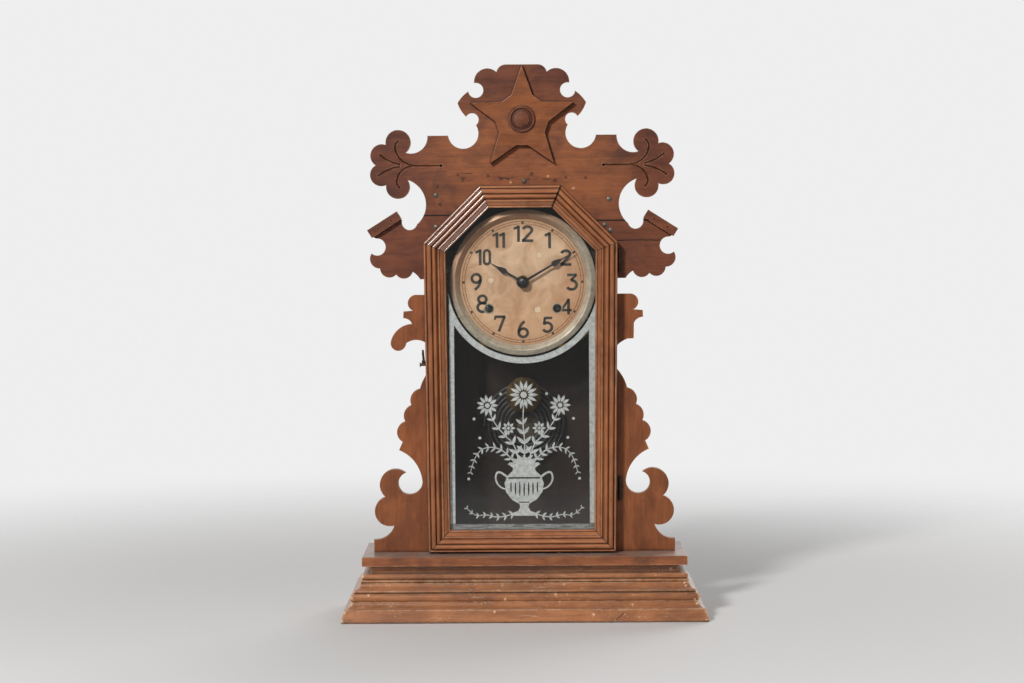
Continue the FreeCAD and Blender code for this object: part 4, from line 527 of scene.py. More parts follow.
CREST_WOOD = palette((158, 93, 54), (117, 67, 42), (78, 48, 39), (204, 160, 122))
EAR_WOOD = palette((125, 69, 43), (91, 50, 34), (63, 40, 34), (184, 138, 106))
SIDE_WOOD = palette((152, 88, 49), (116, 65, 36), (83, 47, 30), (196, 144, 102))
DOOR_WOOD = palette((172, 108, 68), (134, 81, 50), (98, 58, 38), (226, 182, 144))
RAIL_WOOD = palette((186, 118, 75), (146, 89, 56), (104, 63, 42), (230, 188, 152))
BASE_WOOD = palette((183, 118, 72), (137, 86, 54), (98, 61, 46), (226, 186, 146))
SHELF_WOOD = palette((162, 96, 54), (122, 68, 38), (80, 46, 32), (206, 162, 122))
CASE_WOOD = palette((112, 73, 48), (78, 49, 33), (56, 35, 25), (156, 110, 76))
# Wood inside the case, its colours darkened as painted shade
SHADED_INNER_WOOD = palette((54, 39, 37), (40, 27, 25), (29, 20, 19), (70, 56, 48))

# Old filled holes and chips on the crest, as (x, z, radius) in millimetres
OLD_HOLES = [
    (-88.6, 448.8, 2.6), (-85.6, 430.1, 2.8), (-66.8, 461.0, 1.8), (-61.6, 456.4, 2.6), (-35.6, 459.2, 2.0),
    (-22.0, 456.4, 2.2), (-15.5, 456.8, 1.7), (9.8, 461.2, 2.6), (6.0, 456.2, 1.8), (34.0, 454.2, 2.4),
    (45.4, 457.2, 2.2), (66.0, 457.4, 1.9)]
PALE_CHIPS = [
    (-34.8, 446.7, 1.0), (-12.0, 452.4, 1.1), (26.6, 458.6, 1.0), (53.0, 446.4, 1.2), (71.0, 512.0, 1.3)]
# Knocks along the base, as (x, z, radius) in millimetres
BASE_KNOCKS = [
    (-188.3, 2, 1.5), (-186, 10.5, 1.3), (-183, 5, 1.0), (-178.5, 25, 1.2), (-179, 31.5, 1.5),
    (-168.5, 45.5, 1.3), (-161.8, 28, 1.6), (31.3, 28, 1.2), (151.9, 51, 1.5), (165.5, 38, 1.4),
    (166.4, 34.6, 1.3), (176, 21, 1.6), (177.6, 17.4, 1.5), (187, 1.6, 1.5), (111, 17, 0.9), (70.4, 8, 1.2),
    (-31.3, 11, 1.1), (-20, 23, 1.5)]


def marks(places, scale, shade, share):
    """Marks at these places, their radii scaled, in one shade that covers this share."""
    return [((x * MM, 0, z * MM), scale * radius * MM, shade, share) for x, z, radius in places]


CREST_SPOTS = marks(OLD_HOLES, 0.75, colour(62, 37, 29), 0.68)
CREST_SPOTS += marks(PALE_CHIPS, 1, colour(206, 158, 120), 0.75)
BASE_SPOTS = marks(BASE_KNOCKS, 0.8, colour(222, 186, 150), 0.8)


def level_seam(x, z, width, reach, waver=0.0):
    """A level seam round a point, in millimetres."""
    return ((x * MM, 0, z * MM), (0, 0, 1), width * MM, reach * MM, waver * MM)


BOARD_SEAMS = [level_seam(-100, 418.7, 0.8, 32), level_seam(102, 412.5, 0.8, 32)]
EAR_CRACK = level_seam(121, 391.5, 0.45, 23, 3.0)
SCRATCHES = [level_seam(-17, 457.5, 0.35, 11, 5.0), level_seam(-58, 462, 0.3, 9, 4.0),
             level_seam(26, 456, 0.3, 8, 4.0)]


MITRE_Y = -17
MITRE_REACH = 27


def mitre_seam(x, z, slope, width=0.35):
    """A door mitre through a corner, in millimetres; slope is the mitre line's bearing in degrees."""
    turn = math.radians(slope)
    point = (x * MM, MITRE_Y * MM, z * MM)
    return (point, (-math.sin(turn), 0, math.cos(turn)), width * MM, MITRE_REACH * MM, 0.0)


BASE_CRACK = ((98 * MM, -66 * MM, 6 * MM), (-0.6, 0, 0.8), 0.3 * MM, 6 * MM, 2 * MM)
MITRES = [
    mitre_seam(-88.8, 78.3, 45), mitre_seam(84.4, 78.3, 135), mitre_seam(-91.6, 385.4, 157.5),
    mitre_seam(87.2, 385.4, 22.5), mitre_seam(-39.7, 437.6, 112.5), mitre_seam(35.3, 437.6, 67.5, 0.9)]

DOOR_LOOK = {"cloud": 0.45, "gloss": 0.32, "lacquer": 0.35, "dirt_and_shade": 0.6, "corner": 1.4, "edge": 1.6,
             "seams": MITRES}
BASE_LOOK = {"cloud": 0.42, "gloss": 0.34, "wear": 0.9, "dirt_and_shade": 0.9, "lacquer": 0.5, "scuffs": 1.0,
             "corner": 4.5, "edge": 3.0, "spots": BASE_SPOTS, "seams": [BASE_CRACK]}

FINISHES = {
    "crest": wood_finish("crest_wood", ALONG_X, *CREST_WOOD, cloud=0.75, dirt_and_shade=1.0, corner=2.5,
                         faded=(5, 465, 65, 140), spots=CREST_SPOTS, seams=BOARD_SEAMS + SCRATCHES),
    "ears": wood_finish("ear_wood", ALONG_X, *EAR_WOOD, cloud=0.7, corner=2.5,
                        seams=BOARD_SEAMS + [EAR_CRACK]),
    "sides": wood_finish("side_board_wood", ALONG_Z, *SIDE_WOOD, cloud=0.45),
    "star": wood_finish("star_wood", ALONG_X, *SIDE_WOOD, cloud=0.6, gloss=0.3, wear=1.0, lacquer=0.5,
                        corner=2.0),
    "rosette": wood_finish("rosette_wood", ALONG_X, *EAR_WOOD, cloud=0.5, gloss=0.55, dirt_and_shade=1.0, lacquer=0.0,
                           corner=3.0),
    "door_level": wood_finish("door_rail_wood", ALONG_X, *RAIL_WOOD, **DOOR_LOOK),
    "door_upright": wood_finish("door_stile_wood", ALONG_Z, *DOOR_WOOD, **DOOR_LOOK),
    "door_left": wood_finish("left_diagonal_wood", RISING, *DOOR_WOOD,
                             **{**DOOR_LOOK, "gloss": 0.25, "lacquer": 1.0, "shine": 2.1}),
    "door_right": wood_finish("right_diagonal_wood", FALLING, *RAIL_WOOD, **DOOR_LOOK),
    "base_front": wood_finish("base_front_wood", ALONG_X, *BASE_WOOD, **BASE_LOOK),
    "base_side": wood_finish("base_side_wood", ALONG_Y, *BASE_WOOD, **BASE_LOOK),
    "base_back": wood_finish("base_back_wood", ALONG_X, *SHELF_WOOD, gloss=0.6, dirt_and_shade=0.5, lacquer=0.0,
                             scuffs=0.5),
    "shelf": wood_finish("shelf_wood", ALONG_X, *SHELF_WOOD,
                         **{**BASE_LOOK, "cloud": 0.8, "dust": 0.75, "scuffs": 0.4, "edge": 2.0,
                            "wear": 0.6}),
    # The case's sides and back are darkened inside as painted shade
    "case": wood_finish("case_wood", ALONG_Z, *CASE_WOOD, gloss=0.6, lacquer=0.0, inside_shade=("X", 88)),
    "case_top": wood_finish("case_top_wood", ALONG_X, *CASE_WOOD, gloss=0.6, lacquer=0.0, dust=0.6),
    "back": wood_finish("back_wood", ALONG_Z, *CASE_WOOD, gloss=0.65, dirt_and_shade=0.5, dust=0.15, lacquer=0.0,
                        inside_shade=("Y", 64)),
    "inner": wood_finish("shaded_inner_wood", ALONG_Z, *SHADED_INNER_WOOD, gloss=0.65, dust=0.15, lacquer=0.0),
    "strips": wood_finish("strip_wood", ALONG_Z, *CASE_WOOD, gloss=0.6, lacquer=0.0),
    "glass": glass_finish(),
    "sheet": dial_sheet_finish(),
    "paper": paper_finish(),
    "ink": ink_finish("numeral_ink", colour(36, 33, 29), colour(80, 70, 58), 0.5),
    "rule": ink_finish("track_ink", colour(104, 56, 38), colour(150, 100, 72), 0.7),
    "silver": stencil_finish(),
}
# Metals, as finish: material, bright and dull colours, and what else differs
METALS = {
    # The brown tint over the bezel's top and left is the door's painted shadow
    "bezel": ("bezel_brass", (208, 196, 180), (162, 148, 130),
              {"cover": 0.85, "smooth": 0.34, "metallic": 0.35, "door_shadow": colour(156, 112, 80)}),
    "brass": ("movement_brass", (190, 154, 88), (122, 92, 50), {"cover": 0.55, "smooth": 0.3}),
    # The bob's brass is darkened: tarnish, and painted shade inside the case
    "bob": ("shaded_tarnished_brass", (92, 74, 48), (48, 38, 28), {"cover": 0.85, "smooth": 0.4}),
    "steel": ("steel", (120, 120, 118), (66, 62, 58), {"cover": 0.6, "smooth": 0.32}),
    "screws": ("screw_steel", (150, 142, 130), (88, 74, 62), {"cover": 0.7, "smooth": 0.4}),
    "gong": ("gong_steel", (84, 84, 86), (44, 42, 41), {"cover": 0.6, "smooth": 0.35}),
    "iron": ("dark_iron", (88, 78, 68), (58, 44, 35), {"cover": 0.7, "smooth": 0.5, "metallic": 0.6}),
    "black_steel": ("black_steel", (44, 42, 41), (20, 18, 17), {"cover": 0.7, "smooth": 0.5}),
    # The winding arbors are near black as painted shade down in the winding holes
    "arbor": ("oiled_and_shaded_steel", (20, 19, 18), (11, 10, 10), {"cover": 0.6, "smooth": 0.4, "metallic": 0.3}),
    "centre": ("centre_brass", (190, 154, 88), (122, 92, 50), {"cover": 0.55, "smooth": 0.3, "tip": -5}),
    "hands": ("hand_black", (54, 50, 48), (28, 24, 22), {"cover": 0.5, "smooth": 0.35, "metallic": 0.6}),
    "nut": ("nut_black", (58, 58, 60), (26, 25, 25), {"cover": 0.5, "smooth": 0.2, "metallic": 0.8}),
}
for finish, (name, bright, dull, rest) in METALS.items():
    FINISHES[finish] = metal_finish(name, colour(*bright), colour(*dull), **rest)

WEARS = {
    "crest": ["crest_board"],
    "ears": ["left_ear_board", "right_ear_board", "ear_blocks"],
    "sides": ["left_side_board", "right_side_board"],
    "star": ["crest_star"],
    "rosette": ["star_rosette"],
    "door_level": ["door_bottom_rail", "door_top_rail"],
    "door_upright": ["door_left_stile", "door_right_stile"],
    "door_left": ["door_left_diagonal"],
    "door_right": ["door_right_diagonal"],
    "base_front": ["base_front_moulding"],
    "base_back": ["base_back_rail"],
    "base_side": ["base_left_moulding", "base_right_moulding"],
    "shelf": ["base_shelf"],
    "case": ["case_left_side", "case_right_side"],
    "case_top": ["case_top"],
    "back": ["case_back"],
    "inner": ["dial_cleats"],
    "strips": ["glazing_strips"],
    "glass": ["door_glass"],
    "bezel": ["dial_bezel"],
    "brass": ["front_plate", "back_plate", "cannon_pinion", "minute_wheel", "hour_wheel",
              "third_wheel", "escape_wheel", "suspension_post", "time_great_wheel", "strike_great_wheel",
              "strike_pin_wheel"],
    "bob": ["pendulum_bob"],
    "steel": ["plate_pillars", "verge", "mainsprings", "dial_screws"],
    "black_steel": ["pendulum_rod", "hammer"],
    "arbor": ["time_winding_arbor", "strike_winding_arbor"],
    "centre": ["centre_wheel"],
    "screws": ["front_screws"],
    "gong": ["gong_coil"],
    "iron": ["gong_base", "hinge_door_leaves", "hinge_case_leaves", "latch_hook", "latch_screw",
             "latch_stud"],
    "sheet": ["dial_plate"],
    "hands": ["hour_hand", "minute_hand"],
    "nut": ["hand_nut"],
}
for finish, names in WEARS.items():
    for name in names:
        NODES[name].data.materials[0] = FINISHES[finish]


# Flat print and stencil work, drawn in millimetres on a sheet of x across and z up

def as_piece(name, mesh, finish):
    """A new object for a mesh in its place, in its finish."""
    piece = bpy.data.objects.new(name, mesh)
    bpy.context.scene.collection.objects.link(piece)
    mesh.materials.clear()
    mesh.materials.append(FINISHES[finish])
    return piece


def baked(source):
    """The plain mesh of an object with its modifiers applied; the object is removed."""
    bpy.context.view_layer.update()
    mesh = bpy.data.meshes.new_from_object(source.evaluated_get(bpy.context.evaluated_depsgraph_get()))
    data = source.data
    bpy.data.objects.remove(source)
    if isinstance(data, bpy.types.Curve):
        bpy.data.curves.remove(data)
    else:
        bpy.data.meshes.remove(data)
    return mesh


def thickened(mesh, thickness):
    """A flat sheet drawn on x and y, facing +z, given a thickness to both sides of its level."""
    work = bmesh.new()
    work.from_mesh(mesh)
    bmesh.ops.remove_doubles(work, verts=work.verts, dist=0.002 * MM)
    for face in work.faces:
        if face.normal.z < 0:
            face.normal_flip()
    front = work.faces[:]
    backs = bmesh.ops.duplicate(work, geom=work.verts[:] + work.edges[:] + work.faces[:])
    twin = backs["vert_map"]
    rims = [edge for face in front for edge in face.edges if len(edge.link_faces) == 1]
    for vert in [v for v in backs["geom"] if isinstance(v, bmesh.types.BMVert)]:
        vert.co.z -= thickness / 2
    for vert in {v for face in front for v in face.verts}:
        vert.co.z += thickness / 2
    for edge in rims:
        face = edge.link_faces[0]
        corners = [loop.vert for loop in face.loops]
        a, b = edge.verts
        if corners[(corners.index(a) + 1) % len(corners)] != b:
            a, b = b, a
        work.faces.new((b, a, twin[a], twin[b]))
    for face in [f for f in backs["geom"] if isinstance(f, bmesh.types.BMFace)]:
        face.normal_flip()
    work.normal_update()
    work.to_mesh(mesh)
    work.free()
    return mesh


def hung(mesh, y):
    """Turns a sheet drawn on x and y upright, so that it faces the front at this y."""
    mesh.transform(Matrix(((1, 0, 0, 0), (0, 0, -1, y), (0, 1, 0, 0), (0, 0, 0, 1))))
    return mesh


def filled(outlines):
    """A flat mesh filled between closed outlines in millimetres; an outline inside another is a hole."""
    drawing = bpy.data.curves.new("drawing", "CURVE")
    drawing.dimensions = "2D"
    drawing.fill_mode = "BOTH"
    for points in outlines:
        spline = drawing.splines.new("POLY")
        spline.points.add(len(points) - 1)
        for spot, (x, z) in zip(spline.points, points):
            spot.co = (x * MM, z * MM, 0, 1)
        spline.use_cyclic_u = True
    source = bpy.data.objects.new("drawing", drawing)
    bpy.context.scene.collection.objects.link(source)
    return baked(source)


def arc(centre, radius, start, end, count=24):
    """Points of an arc, by bearings in degrees anticlockwise from +x; radius may be a pair."""
    wide, tall = radius if isinstance(radius, tuple) else (radius, radius)
    points = []
    for i in range(count + 1):
        turn = math.radians(start + (end - start) * i / count)
        points.append((centre[0] + wide * math.cos(turn), centre[1] + tall * math.sin(turn)))
    return points


def circle(centre, radius, count=48):
    """Points of a closed circle."""
    return arc(centre, radius, 0, 360 * (count - 1) / count, count - 1)


def strokes(lines):
    """A flat mesh of ribbons; each line is its points and its width, or its widths at both ends."""
    work = bmesh.new()
    for points, width in lines:
        start, end = width if isinstance(width, tuple) else (width, width)
        closed = points[0] == points[-1]
        pairs = []
        for i, point in enumerate(points):
            before = points[-2] if closed and i == 0 else points[max(i - 1, 0)]
            after = points[1] if closed and i == len(points) - 1 else points[min(i + 1, len(points) - 1)]
            along = (Vector(after) - Vector(before)).normalized()
            half = (start + (end - start) * i / (len(points) - 1)) / 2
            side = Vector((-along.y, along.x)) * half
            pairs.append([work.verts.new(((Vector(point) + s * side) * MM).to_3d()) for s in (1, -1)])
        for a, b in zip(pairs, pairs[1:]):
            work.faces.new((a[0], a[1], b[1], b[0]))
    mesh = bpy.data.meshes.new("strokes")
    work.to_mesh(mesh)
    work.free()
    return mesh


def joined(meshes):
    """One mesh from several, which are removed."""
    work = bmesh.new()
    for mesh in meshes:
        work.from_mesh(mesh)
        bpy.data.meshes.remove(mesh)
    mesh = bpy.data.meshes.new("joined")
    work.to_mesh(mesh)
    work.free()
    return mesh


# Geometry node trees for what repeats

def geometry_tree(name, inputs):
    """A new geometry tree with these named inputs, its input node's outputs and its output socket."""
    tree = bpy.data.node_groups.new(name, "GeometryNodeTree")
    add_inputs(tree, [("Geometry", "Geometry", None)] + inputs)
    tree.interface.new_socket("Geometry", in_out="OUTPUT", socket_type="NodeSocketGeometry")
    return tree, tree.nodes.new("NodeGroupInput").outputs, tree.nodes.new("NodeGroupOutput").inputs[0]


def close_tree(tree, given, instances, result):
    """Ends a tree in Realize Instances and Set Material."""
    real = put(tree, "GeometryNodeRealizeInstances", {0: instances}).outputs[0]
    done = put(tree, "GeometryNodeSetMaterial", {"Geometry": real, "Material": given["Material"]})
    tree.links.new(done.outputs[0], result)


def grown(tree, values, source):
    """The plain mesh that a tree makes from a source object, with the tree's inputs set by name."""
    bpy.context.scene.collection.objects.link(source)
    modifier = source.modifiers.new(tree.name, "NODES")
    modifier.node_group = tree
    for item in tree.interface.items_tree:
        if item.in_out == "INPUT" and item.name in values:
            modifier[item.identifier] = values[item.name]
    return baked(source)


def empty_source(name):
    """An object with an empty mesh, for a tree that needs no geometry to start from."""
    return bpy.data.objects.new(name, bpy.data.meshes.new(name))


def path_source(name, points):
    """A smooth curve object that points guide, in millimetres on a sheet of x across and z up."""
    path = bpy.data.curves.new(name, "CURVE")
    path.dimensions = "3D"
    spline = path.splines.new("NURBS")
    spline.points.add(len(points) - 1)
    for spot, (x, z) in zip(spline.points, points):
        spot.co = (x * MM, z * MM, 0, 1)
    spline.use_endpoint_u = True
    spline.order_u = 3
    path.resolution_u = 12
    return bpy.data.objects.new(name, path)


def own_parts(tree):
    """The X, Y and Z of each point's own place."""
    return parts_of(tree, put(tree, "GeometryNodeInputPosition").outputs[0])


def copies(tree, points, instance, turn=(0, 0, 0), size=(1, 1, 1)):
    """An instance on every point."""
    return put(tree, "GeometryNodeInstanceOnPoints", {
        "Points": points, "Instance": instance, "Rotation": turn, "Scale": size}).outputs[0]


def ring_of(tree, count, radius):
    """Points round a circle, and the turn that points each one outwards."""
    ring = put(tree, "GeometryNodeMeshCircle", {"Vertices": count, "Radius": radius}).outputs[0]
    parts = own_parts(tree)
    return ring, vector_of(tree, z=calc(tree, "ARCTAN2", parts["Y"], parts["X"]))


def leaf_blade(tree, length, width):
    """A pointed leaf from the origin along +x."""
    grid = put(tree, "GeometryNodeMeshGrid", {
        "Size X": 1.0, "Size Y": 1.0, "Vertices X": 9, "Vertices Y": 3}).outputs[0]
    parts = own_parts(tree)
    along = calc(tree, "ADD", parts["X"], 0.5)
    bulge = calc(tree, "SINE", times(tree, calc(tree, "POWER", along, 0.8), math.pi))
    across = times(tree, times(tree, parts["Y"], bulge), width)
    spot = vector_of(tree, times(tree, along, length), across)
    return put(tree, "GeometryNodeSetPosition", {"Geometry": grid, "Position": spot}).outputs[0]


def leaf_spray_tree():
    """Pairs of leaves along a stem, smaller towards its tip."""
    tree, given, result = geometry_tree("leaf_spray", [
        ("Pairs", "Int", 6), ("Leaf Length", "Float", 10 * MM), ("Leaf Width", "Float", 4 * MM),
        ("Splay", "Float", 0.8), ("Tip Size", "Float", 0.5), ("Material", "Material", None)])
    spots = put(tree, "GeometryNodeCurveToPoints", {
        "Curve": given["Geometry"], "Count": given["Pairs"]}, mode="COUNT").outputs
    heading = parts_of(tree, spots["Tangent"])
    turn = calc(tree, "ARCTAN2", heading["Y"], heading["X"])
    share = calc(tree, "DIVIDE", put(tree, "GeometryNodeInputIndex").outputs[0], given["Pairs"])
    size = put(tree, "ShaderNodeMapRange", {
        "Value": share, "To Min": 1.0, "To Max": given["Tip Size"]}).outputs[0]
    leaf = leaf_blade(tree, given["Leaf Length"], given["Leaf Width"])
    sides = []
    for operation in ("ADD", "SUBTRACT"):
        angle = vector_of(tree, z=calc(tree, operation, turn, given["Splay"]))
        sides.append(copies(tree, spots["Points"], leaf, angle, size))
    both = put(tree, "GeometryNodeJoinGeometry")
    for side in sides:
        tree.links.new(side, both.inputs[0])
    close_tree(tree, given, both.outputs[0], result)
    return tree


def blossom_tree():
    """Petals round a ring, each pointing outwards."""
    tree, given, result = geometry_tree("blossom", [
        ("Petals", "Int", 12), ("Inner Radius", "Float", 4 * MM), ("Petal Length", "Float", 10 * MM),
        ("Petal Width", "Float", 4 * MM), ("Material", "Material", None)])
    ring, angle = ring_of(tree, given["Petals"], given["Inner Radius"])
    petal = leaf_blade(tree, given["Petal Length"], given["Petal Width"])
    close_tree(tree, given, copies(tree, ring, petal, angle), result)
    return tree


def ring_of_marks_tree():
    """Marks set round a circle, drawn out towards its centre, or round dots where as wide as long."""
    tree, given, result = geometry_tree("ring_of_marks", [
        ("Marks", "Int", 60), ("Ring Radius", "Float", 60 * MM), ("Mark Length", "Float", 2 * MM),
        ("Mark Width", "Float", 0.3 * MM), ("Material", "Material", None)])
    ring, angle = ring_of(tree, given["Marks"], given["Ring Radius"])
    dot = put(tree, "GeometryNodeMeshCircle", {"Vertices": 12, "Radius": 0.5}, fill_type="NGON").outputs[0]
    size = vector_of(tree, given["Mark Length"], given["Mark Width"], 1.0)
    close_tree(tree, given, copies(tree, ring, dot, angle, size), result)
    return tree


def pin_row_tree():
    """Round pin heads along a line, each a flattened ball that is half sunk at the line's level."""
    tree, given, result = geometry_tree("pin_row", [
        ("Spacing", "Float", 40 * MM), ("Head Radius", "Float", 1.5 * MM),
        ("Head Height", "Float", 0.5 * MM), ("Material", "Material", None)])
    spots = put(tree, "GeometryNodeCurveToPoints", {
        "Curve": given["Geometry"], "Length": given["Spacing"]}, mode="LENGTH").outputs
    ball = put(tree, "GeometryNodeMeshUVSphere", {"Segments": 16, "Rings": 8, "Radius": 1.0}).outputs[0]
    size = vector_of(tree, given["Head Radius"], given["Head Radius"], given["Head Height"])
    close_tree(tree, given, copies(tree, spots["Points"], ball, size=size), result)
    return tree


LEAF_SPRAY = leaf_spray_tree()
BLOSSOM = blossom_tree()
RING_OF_MARKS = ring_of_marks_tree()
PIN_ROW = pin_row_tree()


# The dial's paper and its print

PAPER_THICKNESS = 0.16 * MM
INK_THICKNESS = 0.03 * MM
PAPER_RADIUS = 66.0
HAND_HOLE = 6.9
WINDING_HOLE = 4.75
WINDING_X, WINDING_Z = 35.8, -27.7
TRACK_RADII = (60.9, 63.6)
RULE_WIDTH = 0.6
TICK_LENGTH, TICK_WIDTH = 2.4, 0.4
DOT_SIZE = 2.8
DOT_LIFT = 0.01 * MM
STROKE = 2.45
BOLDNESS = 1.22

# Strokes of each figure, in millimetres round its middle
FIGURES = {
    "0": [(arc((0, 3.9), (2.95, 3.1), 0, 180) + arc((0, -3.9), (2.95, 3.1), 180, 360) + [(2.95, 3.9)], 2.3)],
    "1": [([(1.1, -8.0), (1.1, 8.0)], STROKE), ([(-3.6, 4.7), (1.6, 7.0)], 2.2)],
    "2": [(arc((0, 3.5), (4.3, 3.4), 168, -28) + [(-4.4, -6.8)], STROKE), ([(-5.6, -6.9), (5.6, -6.9)], 2.3)],
    "3": [([(-5.0, 7.0), (4.6, 7.0)], 2.3), ([(4.3, 7.3), (-1.6, 1.3)], 2.1),
          (arc((-0.4, -2.9), (4.9, 4.4), 98, -152), STROKE)],
    "4": [([(1.9, 8.0), (1.9, -8.0)], STROKE), ([(2.4, 7.6), (-5.2, -3.2)], 2.0),
          ([(-5.8, -3.6), (5.2, -3.6)], 2.2)],
    "5": [([(-2.8, 7.0), (4.8, 7.0)], 2.3), ([(-2.6, 7.8), (-3.7, 0.2)], 2.2),
          (arc((-0.4, -2.5), (4.8, 4.6), 138, -152), STROKE)],
    "6": [(arc((0, -3.2), (4.4, 4.2), 0, 360), STROKE), (arc((6.2, -3.0), (10.6, 12.2), 180, 116), STROKE)],
    "7": [([(-5.4, 6.9), (5.2, 6.9)], 2.4), ([(-5.2, 7.4), (-5.2, 3.8)], 1.6),
          ([(4.5, 7.2), (-1.4, -8.0)], STROKE)],
    "8": [(arc((0, 4.0), (3.7, 3.4), 0, 360), STROKE), (arc((0, -3.5), (4.5, 4.1), 0, 360), STROKE)],
    "9": [(arc((0, 3.2), (4.4, 4.2), 0, 360), STROKE), (arc((-6.2, 3.0), (10.6, 12.2), 0, -64), STROKE)],
}

# Middle of each figure from the dial's centre, in millimetres, and its size
NUMERALS = [
    ("1", -5.5, 50.7, 1.07), ("2", 5.1, 50.7, 1.07), ("1", 27.0, 43.6, 1.06), ("2", 45.0, 25.4, 1.05),
    ("3", 51.5, -0.2, 1.07), ("4", 45.7, -26.0, 1.04), ("5", 25.6, -44.9, 1.02), ("6", 0.0, -49.8, 1.06),
    ("7", -24.1, -43.4, 1.04), ("8", -42.6, -22.4, 1.12), ("9", -48.9, 0.7, 1.05), ("1", -45.7, 26.3, 1.04),
    ("0", -37.5, 26.3, 1.04), ("1", -27.9, 44.0, 1.01), ("1", -20.9, 44.0, 1.01)]


def on_dial(mesh, lift, name, finish):
    """Sets a flat drawing round the dial's centre, this far in front of the dial's sheet."""
    mesh.transform(Matrix.Translation((0, DIAL_Z, 0)))
    piece = as_piece(name, hung(mesh, DIAL_FACE_Y - lift), finish)
    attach(piece, "case")


def track_marks(count, length, width, finish):
    """A ring of marks along the middle of the dial's track."""
    return grown(RING_OF_MARKS, {
        "Marks": count, "Ring Radius": sum(TRACK_RADII) / 2 * MM, "Mark Length": length * MM,
        "Mark Width": width * MM, "Material": FINISHES[finish]}, empty_source("track_marks"))


def make_dial_paper():
    """The paper with its holes, and on it the figures, the track's rules and ticks, and the dots."""
    outlines = [circle((0, 0), PAPER_RADIUS, 128), circle((0, 0), HAND_HOLE)]
    for x in (WINDING_X, -WINDING_X):
        outlines.append(circle((x, WINDING_Z), WINDING_HOLE))
    sheet = thickened(filled(outlines), PAPER_THICKNESS)
    on_dial(sheet, PAPER_THICKNESS / 2, "dial_paper", "paper")
    lift = PAPER_THICKNESS + INK_THICKNESS / 2
    lines = []
    for figure, x, z, size in NUMERALS:
        for points, width in FIGURES[figure]:
            lines.append(([(x + size * px, z + size * pz) for px, pz in points], width * BOLDNESS))
    on_dial(thickened(strokes(lines), INK_THICKNESS), lift, "dial_figures", "ink")
    rules = [(arc((0, 0), radius, 0, 360, 160), RULE_WIDTH) for radius in TRACK_RADII]
    ticks = track_marks(60, TICK_LENGTH, TICK_WIDTH, "rule")
    on_dial(thickened(joined([strokes(rules), ticks]), INK_THICKNESS), lift, "dial_track", "rule")
    dots = track_marks(12, DOT_SIZE, DOT_SIZE, "ink")
    on_dial(thickened(dots, INK_THICKNESS), lift + DOT_LIFT, "dial_dots", "ink")


# The silver stencil on the back of the glass, in millimetres from the origin

STENCIL_THICKNESS = 0.06 * MM
STENCIL_GAP = 0.01 * MM
# The bouquet's sheets take turns on these levels, so that no two that cross share a plane
LAYERS = 13
LAYER_STEP = 0.006 * MM
STENCIL_SIDES = ((-77.4, -72.2), (68.6, 75.6))
STENCIL_FOOT = (87.2, 95.3)
STENCIL_RING = (78.2, 84.4)
RING_CENTRE = (0.0, DIAL_Z / MM)


def ring_bearing(x, radius):
    """Bearing in degrees of the point of the stencil's ring at this x, on its lower half."""
    return -math.degrees(math.acos(x / radius))


def stencil_border():
    """The border: a ring under the dial that runs into the two side bands and the foot band."""
    (left, inner_left), (inner_right, right) = STENCIL_SIDES
    foot, inner_foot = STENCIL_FOOT
    inner, outer = STENCIL_RING
    edge = arc(RING_CENTRE, inner, ring_bearing(left, inner), ring_bearing(right, inner), 72)
    window = arc(RING_CENTRE, outer, ring_bearing(inner_left, outer), ring_bearing(inner_right, outer), 72)
    return filled([edge + [(right, foot), (left, foot)],
                   window + [(inner_right, inner_foot), (inner_left, inner_foot)]])


# Half of the urn's outline, the middle stem, and the stems and the handle on the right
URN = [(0, 104), (12, 104), (12, 107), (6.5, 109), (4.2, 113), (5.2, 116.5), (13, 121), (19, 129),
       (20.6, 138), (17.6, 146), (12.2, 151), (11.4, 154), (15.6, 157.4), (15.6, 160), (0, 160)]
CENTRE_STEM = [(0, 159), (1.5, 180), (-1.5, 200), (0, 222)]
TALL_STEM = [(5, 159), (8, 178), (22, 190), (33, 205), (36, 214)]
LOW_STEM = [(9, 158), (18, 172), (38, 178), (52, 168), (56, 150)]
FOOT_STEM = [(12, 106), (26, 101), (40, 106), (52, 103), (60, 112)]
HANDLE = [(18, 145), (27, 153), (31, 143), (25, 133), (19, 132)]
# Stems with their widths at both ends, and their leaves as pairs, length, width, splay and tip size
CENTRE_WIDTHS, CENTRE_LEAVES = (1.5, 1.0), (5, 13.0, 4.4, 0.75, 0.6)
STEMS = [
    (TALL_STEM, (1.4, 0.9), (7, 11.0, 3.6, 0.8, 0.55)), (LOW_STEM, (1.3, 0.7), (11, 8.5, 2.6, 0.95, 0.4)),
    (FOOT_STEM, (1.2, 0.7), (8, 6.0, 2.2, 0.9, 0.5)), (HANDLE, (2.2, 1.4), None)]
# Blossoms, as x, z, petals, inner radius, and the petals' length and width
TOP_BLOSSOM = (0, 231, 14, 4.6, 10.5, 3.4)
SIDE_BLOSSOMS = [(38, 220, 11, 3.4, 8.0, 3.2), (16, 196, 8, 2.2, 5.0, 2.8)]
BERRIES = [(24, 232), (52, 206), (58, 143), (46, 186)]
BERRY_RADIUS = 1.5
# Dark bands across the urn, as low and high z and half width, and the row of flutes between them
URN_BANDS = [(143.0, 144.6, 16.6), (117.6, 118.8, 5.4)]
FLUTE_STEP, FLUTE_HALF = 4.6, 0.8
FLUTE_TOP, FLUTE_FOOT, FLUTE_RISE = 139.5, 124.0, 0.5


def flipped(points, side):
    """Points on this side of the middle: 1 keeps them, -1 mirrors them."""
    return [(side * x, z) for x, z in points]


